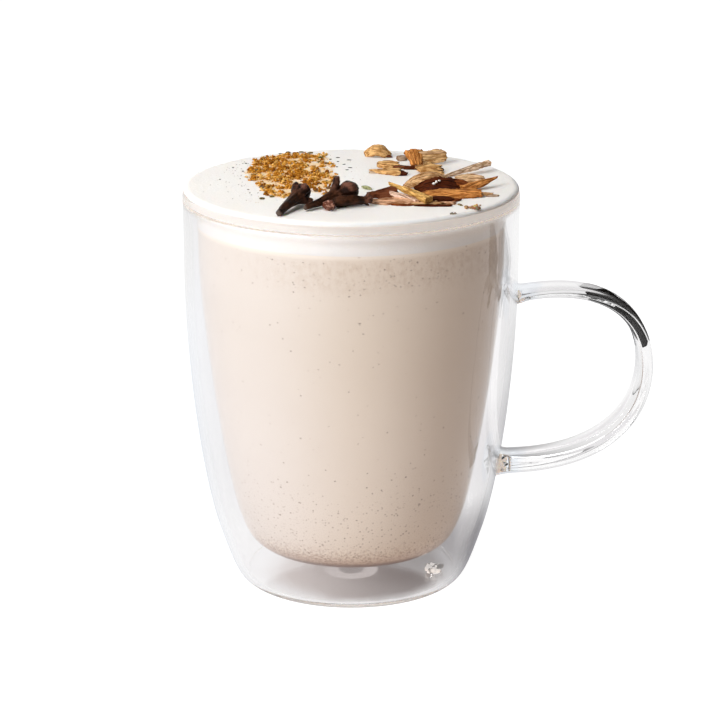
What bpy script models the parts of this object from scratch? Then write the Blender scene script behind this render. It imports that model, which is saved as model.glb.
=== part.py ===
# A double-walled glass mug, filled to the brim with milky spiced tea under a layer of foam.
# Ground spice, cloves and chips of cinnamon bark lie on the foam.
# The origin is the centre of the flat base, +Z is up, and the handle points along +X.

import math
import random

import bmesh
import bpy
from mathutils import Matrix, Vector, noise

MM = 0.001
GAP = 0.3 * MM
SEGMENTS = 44
CLEAN = 1e-6

# The mug
RIM_RADIUS = 44.0 * MM
RIM_HEIGHT = 106.6 * MM
BEAD_RADIUS = 1.8 * MM
BASE_RADIUS = 28.5 * MM
WALL = 1.8 * MM
HIP_RADIUS = 35.5 * MM
HIP_HEIGHT = 13.7 * MM
HIP_LEAN = math.radians(18.5)
HIP_PULLS = (15.4 * MM, 7.7 * MM)
STRAIGHT_FROM = 86.0 * MM
STRAIGHT_PULL = 24.9 * MM
BASE_PULL = 2.6 * MM
CUP_RADIUS = 40.2 * MM
CUP_STRAIGHT_FROM = 91.0 * MM
CUP_STRAIGHT_PULL = 16.0 * MM
CUP_HIP_RADIUS = 30.4 * MM
CUP_HIP_HEIGHT = 19.0 * MM
CUP_HIP_LEAN = math.radians(17.5)
CUP_HIP_PULLS = (13.5 * MM, 10.3 * MM)
CUP_FLOOR_RADIUS = 15.5 * MM
CUP_FLOOR = 9.0 * MM
CUP_FLOOR_PULL = 8.9 * MM
CUP_FLARE_FROM = 101.0 * MM
WALL_GAP_TOP = 103.6 * MM
WALL_GAP_CORNER = (0.5 * MM, 0.8 * MM)
SEAL_RING_RADIUS = 7.4 * MM
SEAL_DIMPLE_RADIUS = 3.4 * MM
SEAL_RING_HEIGHT = 0.9 * MM
SEAL_RING_SLOPES = (0.9 * MM, 0.8 * MM)

# The handle: a flat strap of glass
STRAP_WIDTH = 12.4 * MM
STRAP_THICKNESS = 3.2 * MM
STRAP_TOP = 77.6 * MM
STRAP_BOTTOM = 30.6 * MM
STRAP_REACH = 78.2 * MM
STRAP_REACH_HEIGHT = 57.5 * MM
STRAP_STATIONS = 13
STRAP_TOP_PULLS = ((66.0 * MM, 79.0 * MM), (STRAP_REACH, 76.4 * MM))
STRAP_BOTTOM_PULLS = ((STRAP_REACH, 42.6 * MM), (67.0 * MM, STRAP_BOTTOM))
STRAP_FEET = ((RIM_RADIUS - 1.2 * MM, STRAP_TOP), (38.3 * MM, STRAP_BOTTOM))
STRAP_FLARE = (1.16, 1.04)
STRAP_SIDES = 12
STRAP_SQUARENESS = (0.4, 0.7)

# The vent in the base and its plug
VENT_AT = (21.9 * MM, -7.0 * MM)
VENT_RADIUS = 2.0 * MM
VENT_SIDES = 20
PLUG_HEAD = (3.1 * MM, 2.5 * MM, 1.5 * MM)
PLUG_SIDES = 16
PLUG_RINGS = 6
PLUG_LUMPINESS = 0.25
PLUG_TURN = math.radians(48)

# The drink
FOAM_FROM = 97.6 * MM
FOAM_EDGE_LEVEL = RIM_HEIGHT + 0.35 * MM
FOAM_CROWN = 0.5 * MM
FOAM_WAVE = 0.12 * MM
FOAM_WAVE_SCALE = 85
FOAM_RINGS = (41.7 * MM, 36.0 * MM, 27.0 * MM, 17.0 * MM, 8.0 * MM, 0.0)
POWDER_CENTRE = (-15.5 * MM, 8.0 * MM)
POWDER_SPREAD = (9.5 * MM, 21.0 * MM)
POWDER_LUMPS = 56
POWDER_SIZES = (0.7, 1.5)
STRAY_LUMPS = 16
STRAY_SPREAD = (17.0 * MM, 27.0 * MM)
STRAY_SIZES = (0.45, 0.7)
LUMPS_WITHIN = 39.0 * MM
SEED_AND_CRUMBS = ((3.4, -9.4, 0.9), (27.6, -30.0, 0.8), (29.6, -29.6, 0.7), (23.4, -34.2, 0.6))
CLEAR_OF_PIECES = 0.6 * MM

# Cloves, in mm: the stem's tip, the calyx and the middle of the bud as x, y and height
# over the foam, then the radii of the stem, the calyx and the bud
CLOVES = {
    "clove_1": {
        "tip": (-19.0, -34.4, 1.1),
        "calyx": (-14.2, -24.4, 3.3),
        "bud_at": (-13.7, -22.8, 3.7),
        "stem": (0.95, 1.6),
        "flare": 2.2,
        "bud": 1.9,
    },
    "clove_2": {
        "tip": (-12.6, -31.0, 1.1),
        "calyx": (-4.6, -24.2, 3.1),
        "bud_at": (-1.5, -23.4, 3.2),
        "stem": (0.9, 1.6),
        "flare": 2.1,
        "bud": 2.2,
    },
    "clove_3": {
        "tip": (-4.6, -31.2, 1.2),
        "calyx": (4.0, -27.7, 1.5),
        "bud_at": (4.6, -27.4, 1.5),
        "stem": (1.1, 0.75),
        "flare": 1.05,
        "bud": 0.7,
    },
}
BUD_AT = (-7.4, -30.4)
BUD_SIZE = (1.5 * MM, 1.1 * MM, 1.15 * MM)
CLOVE_SIDES = 12

# Cinnamon bark: places and sizes in mm, angles in degrees
# A chip tapers at both ends, or at its start or end alone
BARK = {
    "bark_back_curl": {
        "at": (8.4, 31.4), "length": 7.2, "width": 3.6, "thick": 0.9,
        "heading": -7, "roll": 40, "rise": 1.7, "curl": 0.6, "taper": 0.7,
    },
    "bark_block": {
        "at": (21.0, 20.8), "length": 11.0, "width": 3.8, "thick": 1.2,
        "heading": 10, "roll": 74, "curl": 0.7,
    },
    "bark_crumb_back": {
        "at": (14.6, 25.8), "length": 2.4, "width": 1.8, "thick": 0.8,
        "heading": 20, "taper": 0.4,
    },
    "bark_flat_back": {
        "at": (11.6, 16.4), "length": 8.0, "width": 4.0, "thick": 0.9,
        "heading": -9, "roll": 12, "taper": 0.3,
    },
    "bark_leaf": {
        "at": (9.9, 8.4), "length": 9.0, "width": 4.6, "thick": 0.8,
        "heading": -12, "roll": 12, "taper": 0.9, "ends": "start",
    },
    "bark_chip": {
        "at": (21.4, 11.4), "length": 4.6, "width": 4.0, "thick": 1.1,
        "heading": 9, "roll": 18, "taper": 0.3,
    },
    "bark_long_splinter": {
        "at": (31.2, 8.4), "length": 15.0, "width": 1.9, "thick": 1.4,
        "heading": 32, "pitch": 8, "taper": 0.6, "ends": "start",
    },
    "bark_dark_curl": {
        "at": (21.6, -10.6), "length": 14.0, "width": 8.0, "thick": 1.1,
        "heading": 10, "rise": 2.4, "curl": 0.5, "taper": 0.3,
    },
    "bark_dark_core": {
        "at": (22.6, -11.0), "length": 8.0, "width": 4.0, "thick": 1.0,
        "heading": 12, "rise": 0.6, "curl": 0.3, "taper": 0.5,
    },
    "bark_flat_right": {
        "at": (31.0, -0.6), "length": 7.0, "width": 4.4, "thick": 0.9,
        "heading": 8, "roll": 10, "taper": 0.4,
    },
    "bark_tapered": {
        "at": (33.8, -9.0), "length": 9.0, "width": 3.6, "thick": 1.0,
        "heading": 24, "pitch": 9, "roll": 16, "taper": 0.9, "ends": "end",
    },
    "bark_long_flat": {
        "at": (27.0, -19.6), "length": 16.0, "width": 3.8, "thick": 1.1,
        "heading": 9, "roll": 14, "taper": 0.85, "ends": "end",
    },
    "bark_red": {
        "at": (22.6, -23.9), "length": 5.4, "width": 2.4, "thick": 1.0,
        "heading": 6, "roll": 20, "taper": 0.3,
    },
    "bark_pale_stick": {
        "at": (13.3, -22.0), "length": 15.0, "width": 2.6, "thick": 1.6,
        "heading": -51, "pitch": -6, "taper": 0.9, "ends": "start", "lift": 1.45,
    },
    "bark_brown": {
        "at": (6.2, -19.0), "length": 5.8, "width": 3.2, "thick": 1.1,
        "heading": 8, "roll": 22, "taper": 0.7, "ends": "start",
    },
    "bark_front_sliver": {
        "at": (14.8, -27.0), "length": 18.0, "width": 2.6, "thick": 0.9,
        "heading": -6, "roll": 12, "taper": 0.4,
    },
}


def clear_scene():
    for old in list(bpy.data.objects):
        bpy.data.objects.remove(old, do_unlink=True)


def material(name, color, roughness, transmission=0.0):
    made = bpy.data.materials.new(name)
    made.use_nodes = True
    shader = made.node_tree.nodes["Principled BSDF"]
    shader.inputs["Base Color"].default_value = (*color, 1.0)
    shader.inputs["Roughness"].default_value = roughness
    shader.inputs["Metallic"].default_value = 0.0
    shader.inputs["Transmission Weight"].default_value = transmission
    return made


def finished(name, mesh_data, look):
    """A bmesh as a smooth-shaded object with its material."""
    bmesh.ops.recalc_face_normals(mesh_data, faces=mesh_data.faces)
    mesh = bpy.data.meshes.new(name)
    mesh_data.to_mesh(mesh)
    mesh_data.free()
    mesh.shade_smooth()
    mesh.set_sharp_from_angle(angle=math.radians(50))
    made = bpy.data.objects.new(name, mesh)
    bpy.context.scene.collection.objects.link(made)
    if look:
        mesh.materials.append(look)
    return made


def as_cutter(made):
    made.hide_render = True
    made.display_type = "WIRE"
    return made


def boolean(target, other, operation):
    step = target.modifiers.new(f"{operation.lower()} {other.name}", "BOOLEAN")
    step.operation = operation
    step.object = other


def bezier(start, pull_out, pull_in, end, steps):
    """Points of a cubic curve, without its first one."""
    points = []
    for step in range(1, steps + 1):
        t = step / steps
        a, b, c, d = (1 - t) ** 3, 3 * (1 - t) ** 2 * t, 3 * (1 - t) * t * t, t**3
        corners = zip(start, pull_out, pull_in, end)
        points.append(tuple(a * p + b * q + c * r + d * s for p, q, r, s in corners))
    return points


def arc(centre, radius, first_degrees, last_degrees, steps):
    points = []
    for step in range(steps + 1):
        angle = math.radians(first_degrees + (last_degrees - first_degrees) * step / steps)
        points.append((centre[0] + radius * math.cos(angle), centre[1] + radius * math.sin(angle)))
    return points


def offset(outline, distance):
    """The outline of a turned wall moved sideways, to the right of its direction."""
    moved = []
    for index, point in enumerate(outline):
        before = outline[max(index - 1, 0)]
        after = outline[min(index + 1, len(outline) - 1)]
        along = Vector((after[0] - before[0], after[1] - before[1])).normalized()
        moved.append((point[0] + along.y * distance, point[1] - along.x * distance))
    return moved


def turned(name, outline, look=None):
    """Spins an outline of (radius, height) points round the Z axis. Its ends lie on the axis."""
    shape = bmesh.new()
    verts = [shape.verts.new((radius, 0.0, height)) for radius, height in outline]
    edges = [shape.edges.new(pair) for pair in zip(verts, verts[1:])]
    bmesh.ops.spin(
        shape,
        geom=verts + edges,
        cent=(0, 0, 0),
        axis=(0, 0, 1),
        angle=math.tau,
        steps=SEGMENTS,
    )
    bmesh.ops.remove_doubles(shape, verts=shape.verts, dist=CLEAN)
    return finished(name, shape, look)


def outer_wall():
    """The outer glass surface, from where the straight side ends down to the flat base."""
    lean = Vector((math.sin(HIP_LEAN), math.cos(HIP_LEAN)))
    hip = Vector((HIP_RADIUS, HIP_HEIGHT))
    side = [(RIM_RADIUS, STRAIGHT_FROM)]
    over, under = hip + lean * HIP_PULLS[0], hip - lean * HIP_PULLS[1]
    side += bezier(side[0], (RIM_RADIUS, STRAIGHT_FROM - STRAIGHT_PULL), over, hip, 7)
    side += bezier(hip, under, (BASE_RADIUS + BASE_PULL, 0), (BASE_RADIUS, 0), 5)
    return side


def cup_wall():
    """The outside of the inner cup, from its straight side down to the axis."""
    lean = Vector((math.sin(CUP_HIP_LEAN), math.cos(CUP_HIP_LEAN)))
    hip = Vector((CUP_HIP_RADIUS, CUP_HIP_HEIGHT))
    side = [(CUP_RADIUS, CUP_STRAIGHT_FROM)]
    over, under = hip + lean * CUP_HIP_PULLS[0], hip - lean * CUP_HIP_PULLS[1]
    side += bezier(side[0], (CUP_RADIUS, CUP_STRAIGHT_FROM - CUP_STRAIGHT_PULL), over, hip, 5)
    floor_pull = (CUP_FLOOR_RADIUS + CUP_FLOOR_PULL, CUP_FLOOR)
    side += bezier(hip, under, floor_pull, (CUP_FLOOR_RADIUS, CUP_FLOOR), 5)
    return side


def cup_inside():
    """The surface the drink touches, from the axis up to where it flares to the rim's bead."""
    side = offset(cup_wall(), WALL)
    return [(0.0, CUP_FLOOR + WALL)] + side[::-1] + [(CUP_RADIUS - WALL, CUP_FLARE_FROM)]


def bead(radius, first_degrees, last_degrees, steps):
    centre = (RIM_RADIUS - BEAD_RADIUS, RIM_HEIGHT - BEAD_RADIUS)
    return arc(centre, radius, first_degrees, last_degrees, steps)


def rounded(share, squareness):
    """One coordinate of a rounded rectangle: the lower the squareness, the squarer it is."""
    return math.copysign(abs(share) ** squareness, share)


def strap():
    """The handle: a rounded strap swept along its path, ending inside the outer wall."""
    foot_top, foot_bottom = STRAP_FEET
    reach = (STRAP_REACH, STRAP_REACH_HEIGHT)
    path = [foot_top]
    path += bezier(foot_top, *STRAP_TOP_PULLS, reach, STRAP_STATIONS)
    path += bezier(reach, *STRAP_BOTTOM_PULLS, foot_bottom, STRAP_STATIONS)
    shape = bmesh.new()
    rings = []
    for index, (x, z) in enumerate(path):
        before = path[max(index - 1, 0)]
        after = path[min(index + 1, len(path) - 1)]
        along = Vector((after[0] - before[0], after[1] - before[1])).normalized()
        from_foot = min(index, len(path) - 1 - index)
        flare = STRAP_FLARE[from_foot] if from_foot < len(STRAP_FLARE) else 1.0
        ring = []
        for corner in range(STRAP_SIDES):
            angle = math.tau * (corner + 0.5) / STRAP_SIDES
            wide = rounded(math.cos(angle), STRAP_SQUARENESS[0]) * STRAP_WIDTH / 2 * flare
            thick = rounded(math.sin(angle), STRAP_SQUARENESS[1]) * STRAP_THICKNESS / 2 * flare
            ring.append(shape.verts.new((x - along.y * thick, wide, z + along.x * thick)))
        rings.append(ring)
    join_rings(shape, rings)
    return as_cutter(finished("strap_form", shape, None))


def join_rings(shape, rings):
    """Skins a run of point rings and closes both ends."""
    for low, high in zip(rings, rings[1:]):
        for index in range(len(low)):
            after = (index + 1) % len(low)
            shape.faces.new((low[index], low[after], high[after], high[index]))
    shape.faces.new(rings[0])
    shape.faces.new(rings[-1])


def glass_mug(look):
    outside = outer_wall()
    outline = cup_inside() + bead(BEAD_RADIUS, 180, 0, 5) + outside + [(0.0, 0.0)]
    mug = turned("glass_mug", outline, look)

    floor = WALL
    seal_ring = [
        (0.0, floor),
        (SEAL_DIMPLE_RADIUS - SEAL_RING_SLOPES[0], floor),
        (SEAL_DIMPLE_RADIUS, floor + SEAL_RING_HEIGHT),
        (SEAL_RING_RADIUS - SEAL_RING_SLOPES[1], floor + SEAL_RING_HEIGHT),
        (SEAL_RING_RADIUS, floor),
    ]
    shell = [point for point in offset(outside[:-2], WALL)[::-1] if point[1] > floor]
    shell = [(BASE_RADIUS, floor)] + shell
    corner_in, corner_down = WALL_GAP_CORNER
    top = [
        (RIM_RADIUS - WALL, WALL_GAP_TOP - corner_down),
        (RIM_RADIUS - WALL - corner_in, WALL_GAP_TOP),
        (CUP_RADIUS + corner_in, WALL_GAP_TOP),
        (CUP_RADIUS, WALL_GAP_TOP - corner_down),
    ]
    outline = seal_ring + shell + top + cup_wall() + [(0.0, CUP_FLOOR)]
    between = as_cutter(turned("wall_gap_form", outline))

    hole = bmesh.new()
    bmesh.ops.create_cone(
        hole,
        cap_ends=True,
        segments=VENT_SIDES,
        radius1=VENT_RADIUS,
        radius2=VENT_RADIUS,
        depth=4 * WALL,
        matrix=Matrix.Translation((*VENT_AT, 0.0)),
    )
    vent = as_cutter(finished("vent_form", hole, None))

    boolean(mug, strap(), "UNION")
    boolean(mug, between, "DIFFERENCE")
    boolean(mug, vent, "DIFFERENCE")
    return mug


def vent_plug(look):
    """A stem in the vent with a lumpy head that was pressed down on the glass."""
    stem = VENT_RADIUS - GAP
    head_from = WALL + GAP
    turns = [math.tau * side / PLUG_SIDES + PLUG_TURN for side in range(PLUG_SIDES)]
    place = Vector((*VENT_AT, 0.0))
    shape = bmesh.new()
    rings = []
    for radius, height in ((stem * 0.8, GAP), (stem, 1.7 * GAP), (stem, head_from)):
        ring = [Vector((radius * math.cos(turn), radius * math.sin(turn), height)) for turn in turns]
        rings.append([shape.verts.new(place + point) for point in ring])
    for step in range(PLUG_RINGS):
        angle = math.radians(4 + 76 * step / (PLUG_RINGS - 1))
        ring = []
        for turn in turns:
            x = math.cos(turn - PLUG_TURN) * math.cos(angle) * PLUG_HEAD[0]
            y = math.sin(turn - PLUG_TURN) * math.cos(angle) * PLUG_HEAD[1]
            point = Vector((x, y, math.sin(angle) * PLUG_HEAD[2]))
            point *= 1 + PLUG_LUMPINESS * noise.noise(point * 420)
            point.rotate(Matrix.Rotation(PLUG_TURN, 3, "Z"))
            ring.append(shape.verts.new(place + point + Vector((0.0, 0.0, head_from))))
        rings.append(ring)
    join_rings(shape, rings)
    return finished("vent_plug", shape, look)


def chai(look):
    side = offset(cup_wall(), WALL + GAP)[::-1]
    floor_height = CUP_FLOOR + WALL + GAP
    brim = FOAM_FROM - GAP
    outline = [(0.0, floor_height)] + side + [(CUP_RADIUS - WALL - GAP, brim), (0.0, brim)]
    return turned("chai", outline, look)


def foam_level(x, y):
    """Height of the foam's top: a low crown with a slow wave that dies out at the rim."""
    out = min(math.hypot(x, y) / (RIM_RADIUS - BEAD_RADIUS), 1.0)
    wave = noise.noise(Vector((x, y, 0.0)) * FOAM_WAVE_SCALE)
    return FOAM_EDGE_LEVEL + FOAM_CROWN * (1 - out * out) + FOAM_WAVE * wave * (1 - out**4)


def foam_cap(look, keep_clear):
    """The foam, from the drink up to just over the rim, with the small toppings fused to it."""
    inside = CUP_RADIUS - WALL - GAP
    lip = bead(BEAD_RADIUS + GAP, 180, 88, 4)
    lip_top = lip[-1][1]
    outline = [(0.0, FOAM_FROM), (inside, FOAM_FROM), (inside, CUP_FLARE_FROM + GAP)] + lip
    outline += [(radius, lip_top + FOAM_CROWN) for radius in FOAM_RINGS]
    foam = turned("foam_cap", outline, look)
    for vert in foam.data.vertices:
        if vert.co.z > lip_top + FOAM_CROWN / 2:
            vert.co.z = foam_level(vert.co.x, vert.co.y)

    grains = bpy.data.collections.new("grains")
    bpy.context.scene.collection.children.link(grains)
    for index, (x, y, size) in enumerate(lumps(keep_clear)):
        grain = bmesh.new()
        bmesh.ops.create_icosphere(grain, subdivisions=1, radius=size)
        turn = Matrix.Rotation(index * 2.4, 4, "Z") @ Matrix.Diagonal((1.0, 0.8, 0.62, 1.0))
        place = Matrix.Translation((x, y, foam_level(x, y) + size * 0.12))
        bmesh.ops.transform(grain, matrix=place @ turn, verts=grain.verts)
        made = finished(f"grain_{index}", grain, None)
        bpy.context.scene.collection.objects.unlink(made)
        grains.objects.link(made)
    join = foam.modifiers.new("join grains", "BOOLEAN")
    join.operation = "UNION"
    join.operand_type = "COLLECTION"
    join.collection = grains
    apply_modifiers(foam)
    for grain in list(grains.objects):
        bpy.data.objects.remove(grain, do_unlink=True)
    bpy.data.collections.remove(grains)
    foam.data.shade_smooth()
    foam.data.set_sharp_from_angle(angle=math.radians(40))
    return foam


def apply_modifiers(made):
    graph = bpy.context.evaluated_depsgraph_get()
    result = bpy.data.meshes.new_from_object(made.evaluated_get(graph))
    made.modifiers.clear()
    made.data = result


def lumps(keep_clear):
    """Lumps of ground spice in a patch, a few strays, a seed and crumbs: x, y and radius."""
    rng = random.Random(11)
    found = []

    def free(x, y, size):
        if any(math.hypot(x - a, y - b) < size + reach for a, b, reach in keep_clear):
            return False
        return all(math.hypot(x - a, y - b) > (size + other) * 0.95 for a, b, other in found)

    def scatter(count, spread, sizes):
        tries = 0
        wanted = len(found) + count
        while len(found) < wanted and tries < 4000:
            tries += 1
            turn = rng.uniform(0, math.tau)
            out = math.sqrt(rng.random())
            x = POWDER_CENTRE[0] + spread[0] * out * math.cos(turn)
            y = POWDER_CENTRE[1] + spread[1] * out * math.sin(turn)
            size = rng.uniform(*sizes) * MM
            if free(x, y, size) and math.hypot(x, y) < LUMPS_WITHIN:
                found.append((x, y, size))

    scatter(POWDER_LUMPS, POWDER_SPREAD, POWDER_SIZES)
    scatter(STRAY_LUMPS, STRAY_SPREAD, STRAY_SIZES)
    found += [(x * MM, y * MM, size * MM) for x, y, size in SEED_AND_CRUMBS]
    return found


def on_foam(place, height):
    x, y = place[0] * MM, place[1] * MM
    return Vector((x, y, foam_level(x, y) + height * MM))


def settle(made, lift=0.0):
    """Lowers a piece until it is a hair above the foam, then raises it by the lift."""
    clear = min(vert.co.z - foam_level(vert.co.x, vert.co.y) for vert in made.data.vertices)
    for vert in made.data.vertices:
        vert.co.z += GAP + lift - clear


def clove(name, form, look):
    """A dried flower bud: a stem, a calyx that flares into four teeth, and the bud between them."""
    tip, calyx, bud_at = (on_foam(form[key][:2], form[key][2]) for key in ("tip", "calyx", "bud_at"))
    slim, full = (radius * MM for radius in form["stem"])
    flare, bud = form["flare"] * MM, form["bud"] * MM
    along = (calyx - tip).normalized()
    side = along.cross(Vector((0, 0, 1))).normalized()
    up = side.cross(along)
    profile = [
        (0.0, slim * 0.8, 0.0),
        (0.05, slim, 0.03),
        (0.5, (slim + full) * 0.48, 0.08),
        (0.84, full, 0.1),
        (0.94, flare * 0.92, 0.12),
        (1.0, flare, 0.2),
    ]
    shape = bmesh.new()
    rings = []
    for share, radius, tooth in profile:
        centre = tip.lerp(calyx, share)
        ring = []
        for corner in range(CLOVE_SIDES):
            turn = math.tau * corner / CLOVE_SIDES
            wave = math.cos(4 * turn)
            out = side * math.cos(turn) + up * math.sin(turn)
            ring.append(shape.verts.new(centre + out * radius * (1 + tooth * wave)))
        rings.append(ring)
    bud_way = (bud_at - calyx).normalized()
    bud_side = bud_way.cross(up).normalized()
    bud_up = bud_side.cross(bud_way).normalized()
    for step in range(4):
        angle = math.radians(-25 + 33 * step)
        ring = []
        for corner in range(CLOVE_SIDES):
            turn = math.tau * corner / CLOVE_SIDES
            across = bud_side * math.cos(turn) + bud_up * math.sin(turn)
            out = bud_way * math.sin(angle) + across * math.cos(angle)
            ring.append(shape.verts.new(bud_at + out * bud))
        rings.append(ring)
    join_rings(shape, rings)
    made = finished(name, shape, look)
    settle(made)
    return made


def clove_bud(look):
    """A loose bud that has dropped from its stem."""
    shape = bmesh.new()
    bmesh.ops.create_icosphere(shape, subdivisions=2, radius=1.0)
    place = Matrix.Translation(on_foam(BUD_AT, 1.4)) @ Matrix.Rotation(math.radians(-35), 4, "Z")
    bmesh.ops.transform(shape, matrix=place @ Matrix.Diagonal((*BUD_SIZE, 1.0)), verts=shape.verts)
    made = finished("clove_bud", shape, look)
    settle(made)
    return made


def bark_piece(name, form, look):
    """A chip of bark: a strip with an uneven outline, which may be curled, arched, rolled or pitched."""
    length, width, thick = (form[key] * MM for key in ("length", "width", "thick"))
    rise, curl = form.get("rise", 0.0) * MM, form.get("curl", 0.25) * MM
    taper, ends = form.get("taper", 0.15), form.get("ends", "both")
    rng = random.Random(name)
    stations = 8 if rise else 5
    across = 4
    shape = bmesh.new()
    rings = []
    for station in range(stations):
        share = station / (stations - 1)
        outward = abs(2 * share - 1) ** 2.5
        if ends != "both":
            outward = (share if ends == "end" else 1 - share) ** 1.3
        narrow = (1 - taper * outward) * rng.uniform(0.88, 1.06)
        sway = rng.uniform(-0.05, 0.05) * width
        height = rise * (1 - (2 * share - 1) ** 2)
        ring = []
        for face in (1, -1):
            for step in range(across):
                cross = (2 * step / (across - 1) - 1) * face
                ragged = rng.uniform(-0.02, 0.02) * length if station in (0, stations - 1) else 0.0
                drop = curl * cross * cross
                depth = thick / 2 * face * (1 - 0.35 * abs(cross)) * (1 - 0.4 * taper * outward)
                x = (share - 0.5) * length + ragged
                y = cross * width / 2 * narrow + sway
                ring.append(shape.verts.new((x, y, height + depth - drop)))
        rings.append(ring)
    join_rings(shape, rings)
    turn = Matrix.Rotation(math.radians(form["heading"]), 4, "Z")
    turn @= Matrix.Rotation(math.radians(-form.get("pitch", 0)), 4, "Y")
    turn @= Matrix.Rotation(math.radians(form.get("roll", 0)), 4, "X")
    place = Matrix.Translation(on_foam(form["at"], 0.0))
    bmesh.ops.transform(shape, matrix=place @ turn, verts=shape.verts)
    made = finished(name, shape, look)
    settle(made, form.get("lift", 0.0) * MM)
    return made


def main():
    clear_scene()
    glass = material("clear_glass", (0.95, 0.96, 0.96), 0.02, 1.0)
    silicone = material("white_silicone", (0.85, 0.85, 0.83), 0.5)
    tea = material("milky_tea", (0.76, 0.66, 0.56), 0.35)
    foam = material("milk_foam", (0.93, 0.9, 0.86), 0.6)
    clove_brown = material("clove_brown", (0.07, 0.035, 0.025), 0.55)
    bark = material("cinnamon_bark", (0.5, 0.28, 0.13), 0.7)

    glass_mug(glass)
    vent_plug(silicone)
    chai(tea)
    pieces = [clove(name, form, clove_brown) for name, form in CLOVES.items()]
    pieces.append(clove_bud(clove_brown))
    pieces += [bark_piece(name, form, bark) for name, form in BARK.items()]
    spots = [vert.co for piece in pieces for vert in piece.data.vertices]
    foam_cap(foam, [(spot.x, spot.y, CLEAR_OF_PIECES) for spot in spots])


main()
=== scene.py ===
import math
import random

import bmesh
import bpy
from mathutils import Matrix, Vector, noise


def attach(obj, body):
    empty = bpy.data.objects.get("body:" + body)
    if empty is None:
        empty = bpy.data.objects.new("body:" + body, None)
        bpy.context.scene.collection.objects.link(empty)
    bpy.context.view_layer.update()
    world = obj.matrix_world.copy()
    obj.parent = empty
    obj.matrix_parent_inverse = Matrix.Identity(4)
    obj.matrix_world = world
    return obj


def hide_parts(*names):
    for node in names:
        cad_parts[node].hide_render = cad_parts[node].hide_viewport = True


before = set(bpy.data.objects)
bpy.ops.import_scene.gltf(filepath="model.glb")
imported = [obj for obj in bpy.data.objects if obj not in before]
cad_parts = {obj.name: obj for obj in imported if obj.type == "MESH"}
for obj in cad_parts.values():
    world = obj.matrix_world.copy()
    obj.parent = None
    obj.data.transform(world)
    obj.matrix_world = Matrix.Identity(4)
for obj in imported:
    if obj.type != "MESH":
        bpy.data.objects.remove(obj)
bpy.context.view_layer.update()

mm = 0.001


class Wire:  # one socket of a node tree, so that 1 - mask or a * b adds its Math node
    def __init__(self, nodes, socket):
        self.nodes = nodes
        self.socket = socket

    def maths(self, operation, first, second):
        return self.nodes.add("ShaderNodeMath", {"operation": operation}, [first, second])

    def __add__(self, other):
        return self.maths("ADD", self, other)

    def __mul__(self, other):
        return self.maths("MULTIPLY", self, other)

    def __sub__(self, other):
        return self.maths("SUBTRACT", self, other)

    def __rsub__(self, other):
        return self.maths("SUBTRACT", other, self)

    def __lt__(self, other):
        return self.maths("LESS_THAN", self, other)

    def __gt__(self, other):
        return self.maths("GREATER_THAN", self, other)

    __radd__ = __add__
    __rmul__ = __mul__


class Nodes:  # a node tree and the shader at its end
    def __init__(self, tree, shader, **fixed):
        self.tree = tree
        self.shader = tree.nodes[shader]
        for socket, value in fixed.items():
            self.into(socket.replace("_", " "), value)

    def add(self, kind, settings=None, inputs=(), output=0):
        node = self.tree.nodes.new(kind)
        for key, value in (settings or {}).items():
            setattr(node, key, value)
        for key, value in inputs.items() if isinstance(inputs, dict) else enumerate(inputs):
            self.feed(node.inputs[key], value)
        return Wire(self, node.outputs[output])

    def feed(self, socket, value):
        if isinstance(value, Wire):
            self.tree.links.new(value.socket, socket)
        else:
            socket.default_value = (*value, 1.0) if socket.type == "RGBA" else value

    def into(self, socket, value):  # feeds a socket of the shader
        self.feed(self.shader.inputs[socket], value)

    def ray(self, kind):
        return self.add("ShaderNodeLightPath", output=kind)

    def place(self):
        return self.add("ShaderNodeTexCoord", output="Object")

    def along(self, axis):  # mm from the middle
        return self.add("ShaderNodeSeparateXYZ", None, [self.place()], axis) * 1000

    def vectors(self, operation, *inputs, output=0):
        return self.add("ShaderNodeVectorMath", {"operation": operation}, inputs, output)

    def stretched(self, where, amounts):
        return self.vectors("MULTIPLY", where, amounts)

    def away(self, where, spot=(0.0, 0.0, 0.0)):  # mm from a spot
        apart = self.vectors("SUBTRACT", where, [part * mm for part in spot])
        return self.vectors("LENGTH", apart, output="Value") * 1000

    def cloud(self, where, scale, detail=2.0, roughness=0.5):
        inputs = {"Vector": where, "Scale": scale, "Detail": detail, "Roughness": roughness}
        return self.add("ShaderNodeTexNoise", None, inputs)

    def cells(self, where, scale, output="Distance"):
        return self.add("ShaderNodeTexVoronoi", None, {"Vector": where, "Scale": scale}, output)

    def spread(self, value, low, high, toLow=0.0, toHigh=1.0):
        settings = {"interpolation_type": "SMOOTHSTEP"}
        return self.add("ShaderNodeMapRange", settings, [value, low, high, toLow, toHigh])

    def mix(self, share, first, second, blend="MIX"):
        settings = {"data_type": "RGBA", "blend_type": blend}
        return self.add("ShaderNodeMix", settings, {0: share, 6: first, 7: second}, 2)

    def times(self, color, amounts):
        return self.mix(1.0, color, amounts, "MULTIPLY")

    def stored(self, name, output="Fac"):  # a value kept on the mesh
        return self.add("ShaderNodeAttribute", {"attribute_name": name}, output=output)

    def relief(self, value, depth, strength):
        inputs = {"Height": value, "Distance": depth, "Strength": strength}
        self.into("Normal", self.add("ShaderNodeBump", None, inputs))


class Finish(Nodes):  # one material
    def __init__(self, name, **fixed):
        self.material = bpy.data.materials.new(name)
        self.material.use_nodes = True
        super().__init__(self.material.node_tree, "Principled BSDF", **fixed)


def meshOf(name, points, faces):  # points in mm
    mesh = bpy.data.meshes.new(name)
    mesh.from_pydata([tuple(p * mm for p in point) for point in points], [], faces)
    return mesh


def shown(name, data):
    made = bpy.data.objects.new(name, data)
    bpy.context.scene.collection.objects.link(made)
    return made


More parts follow.
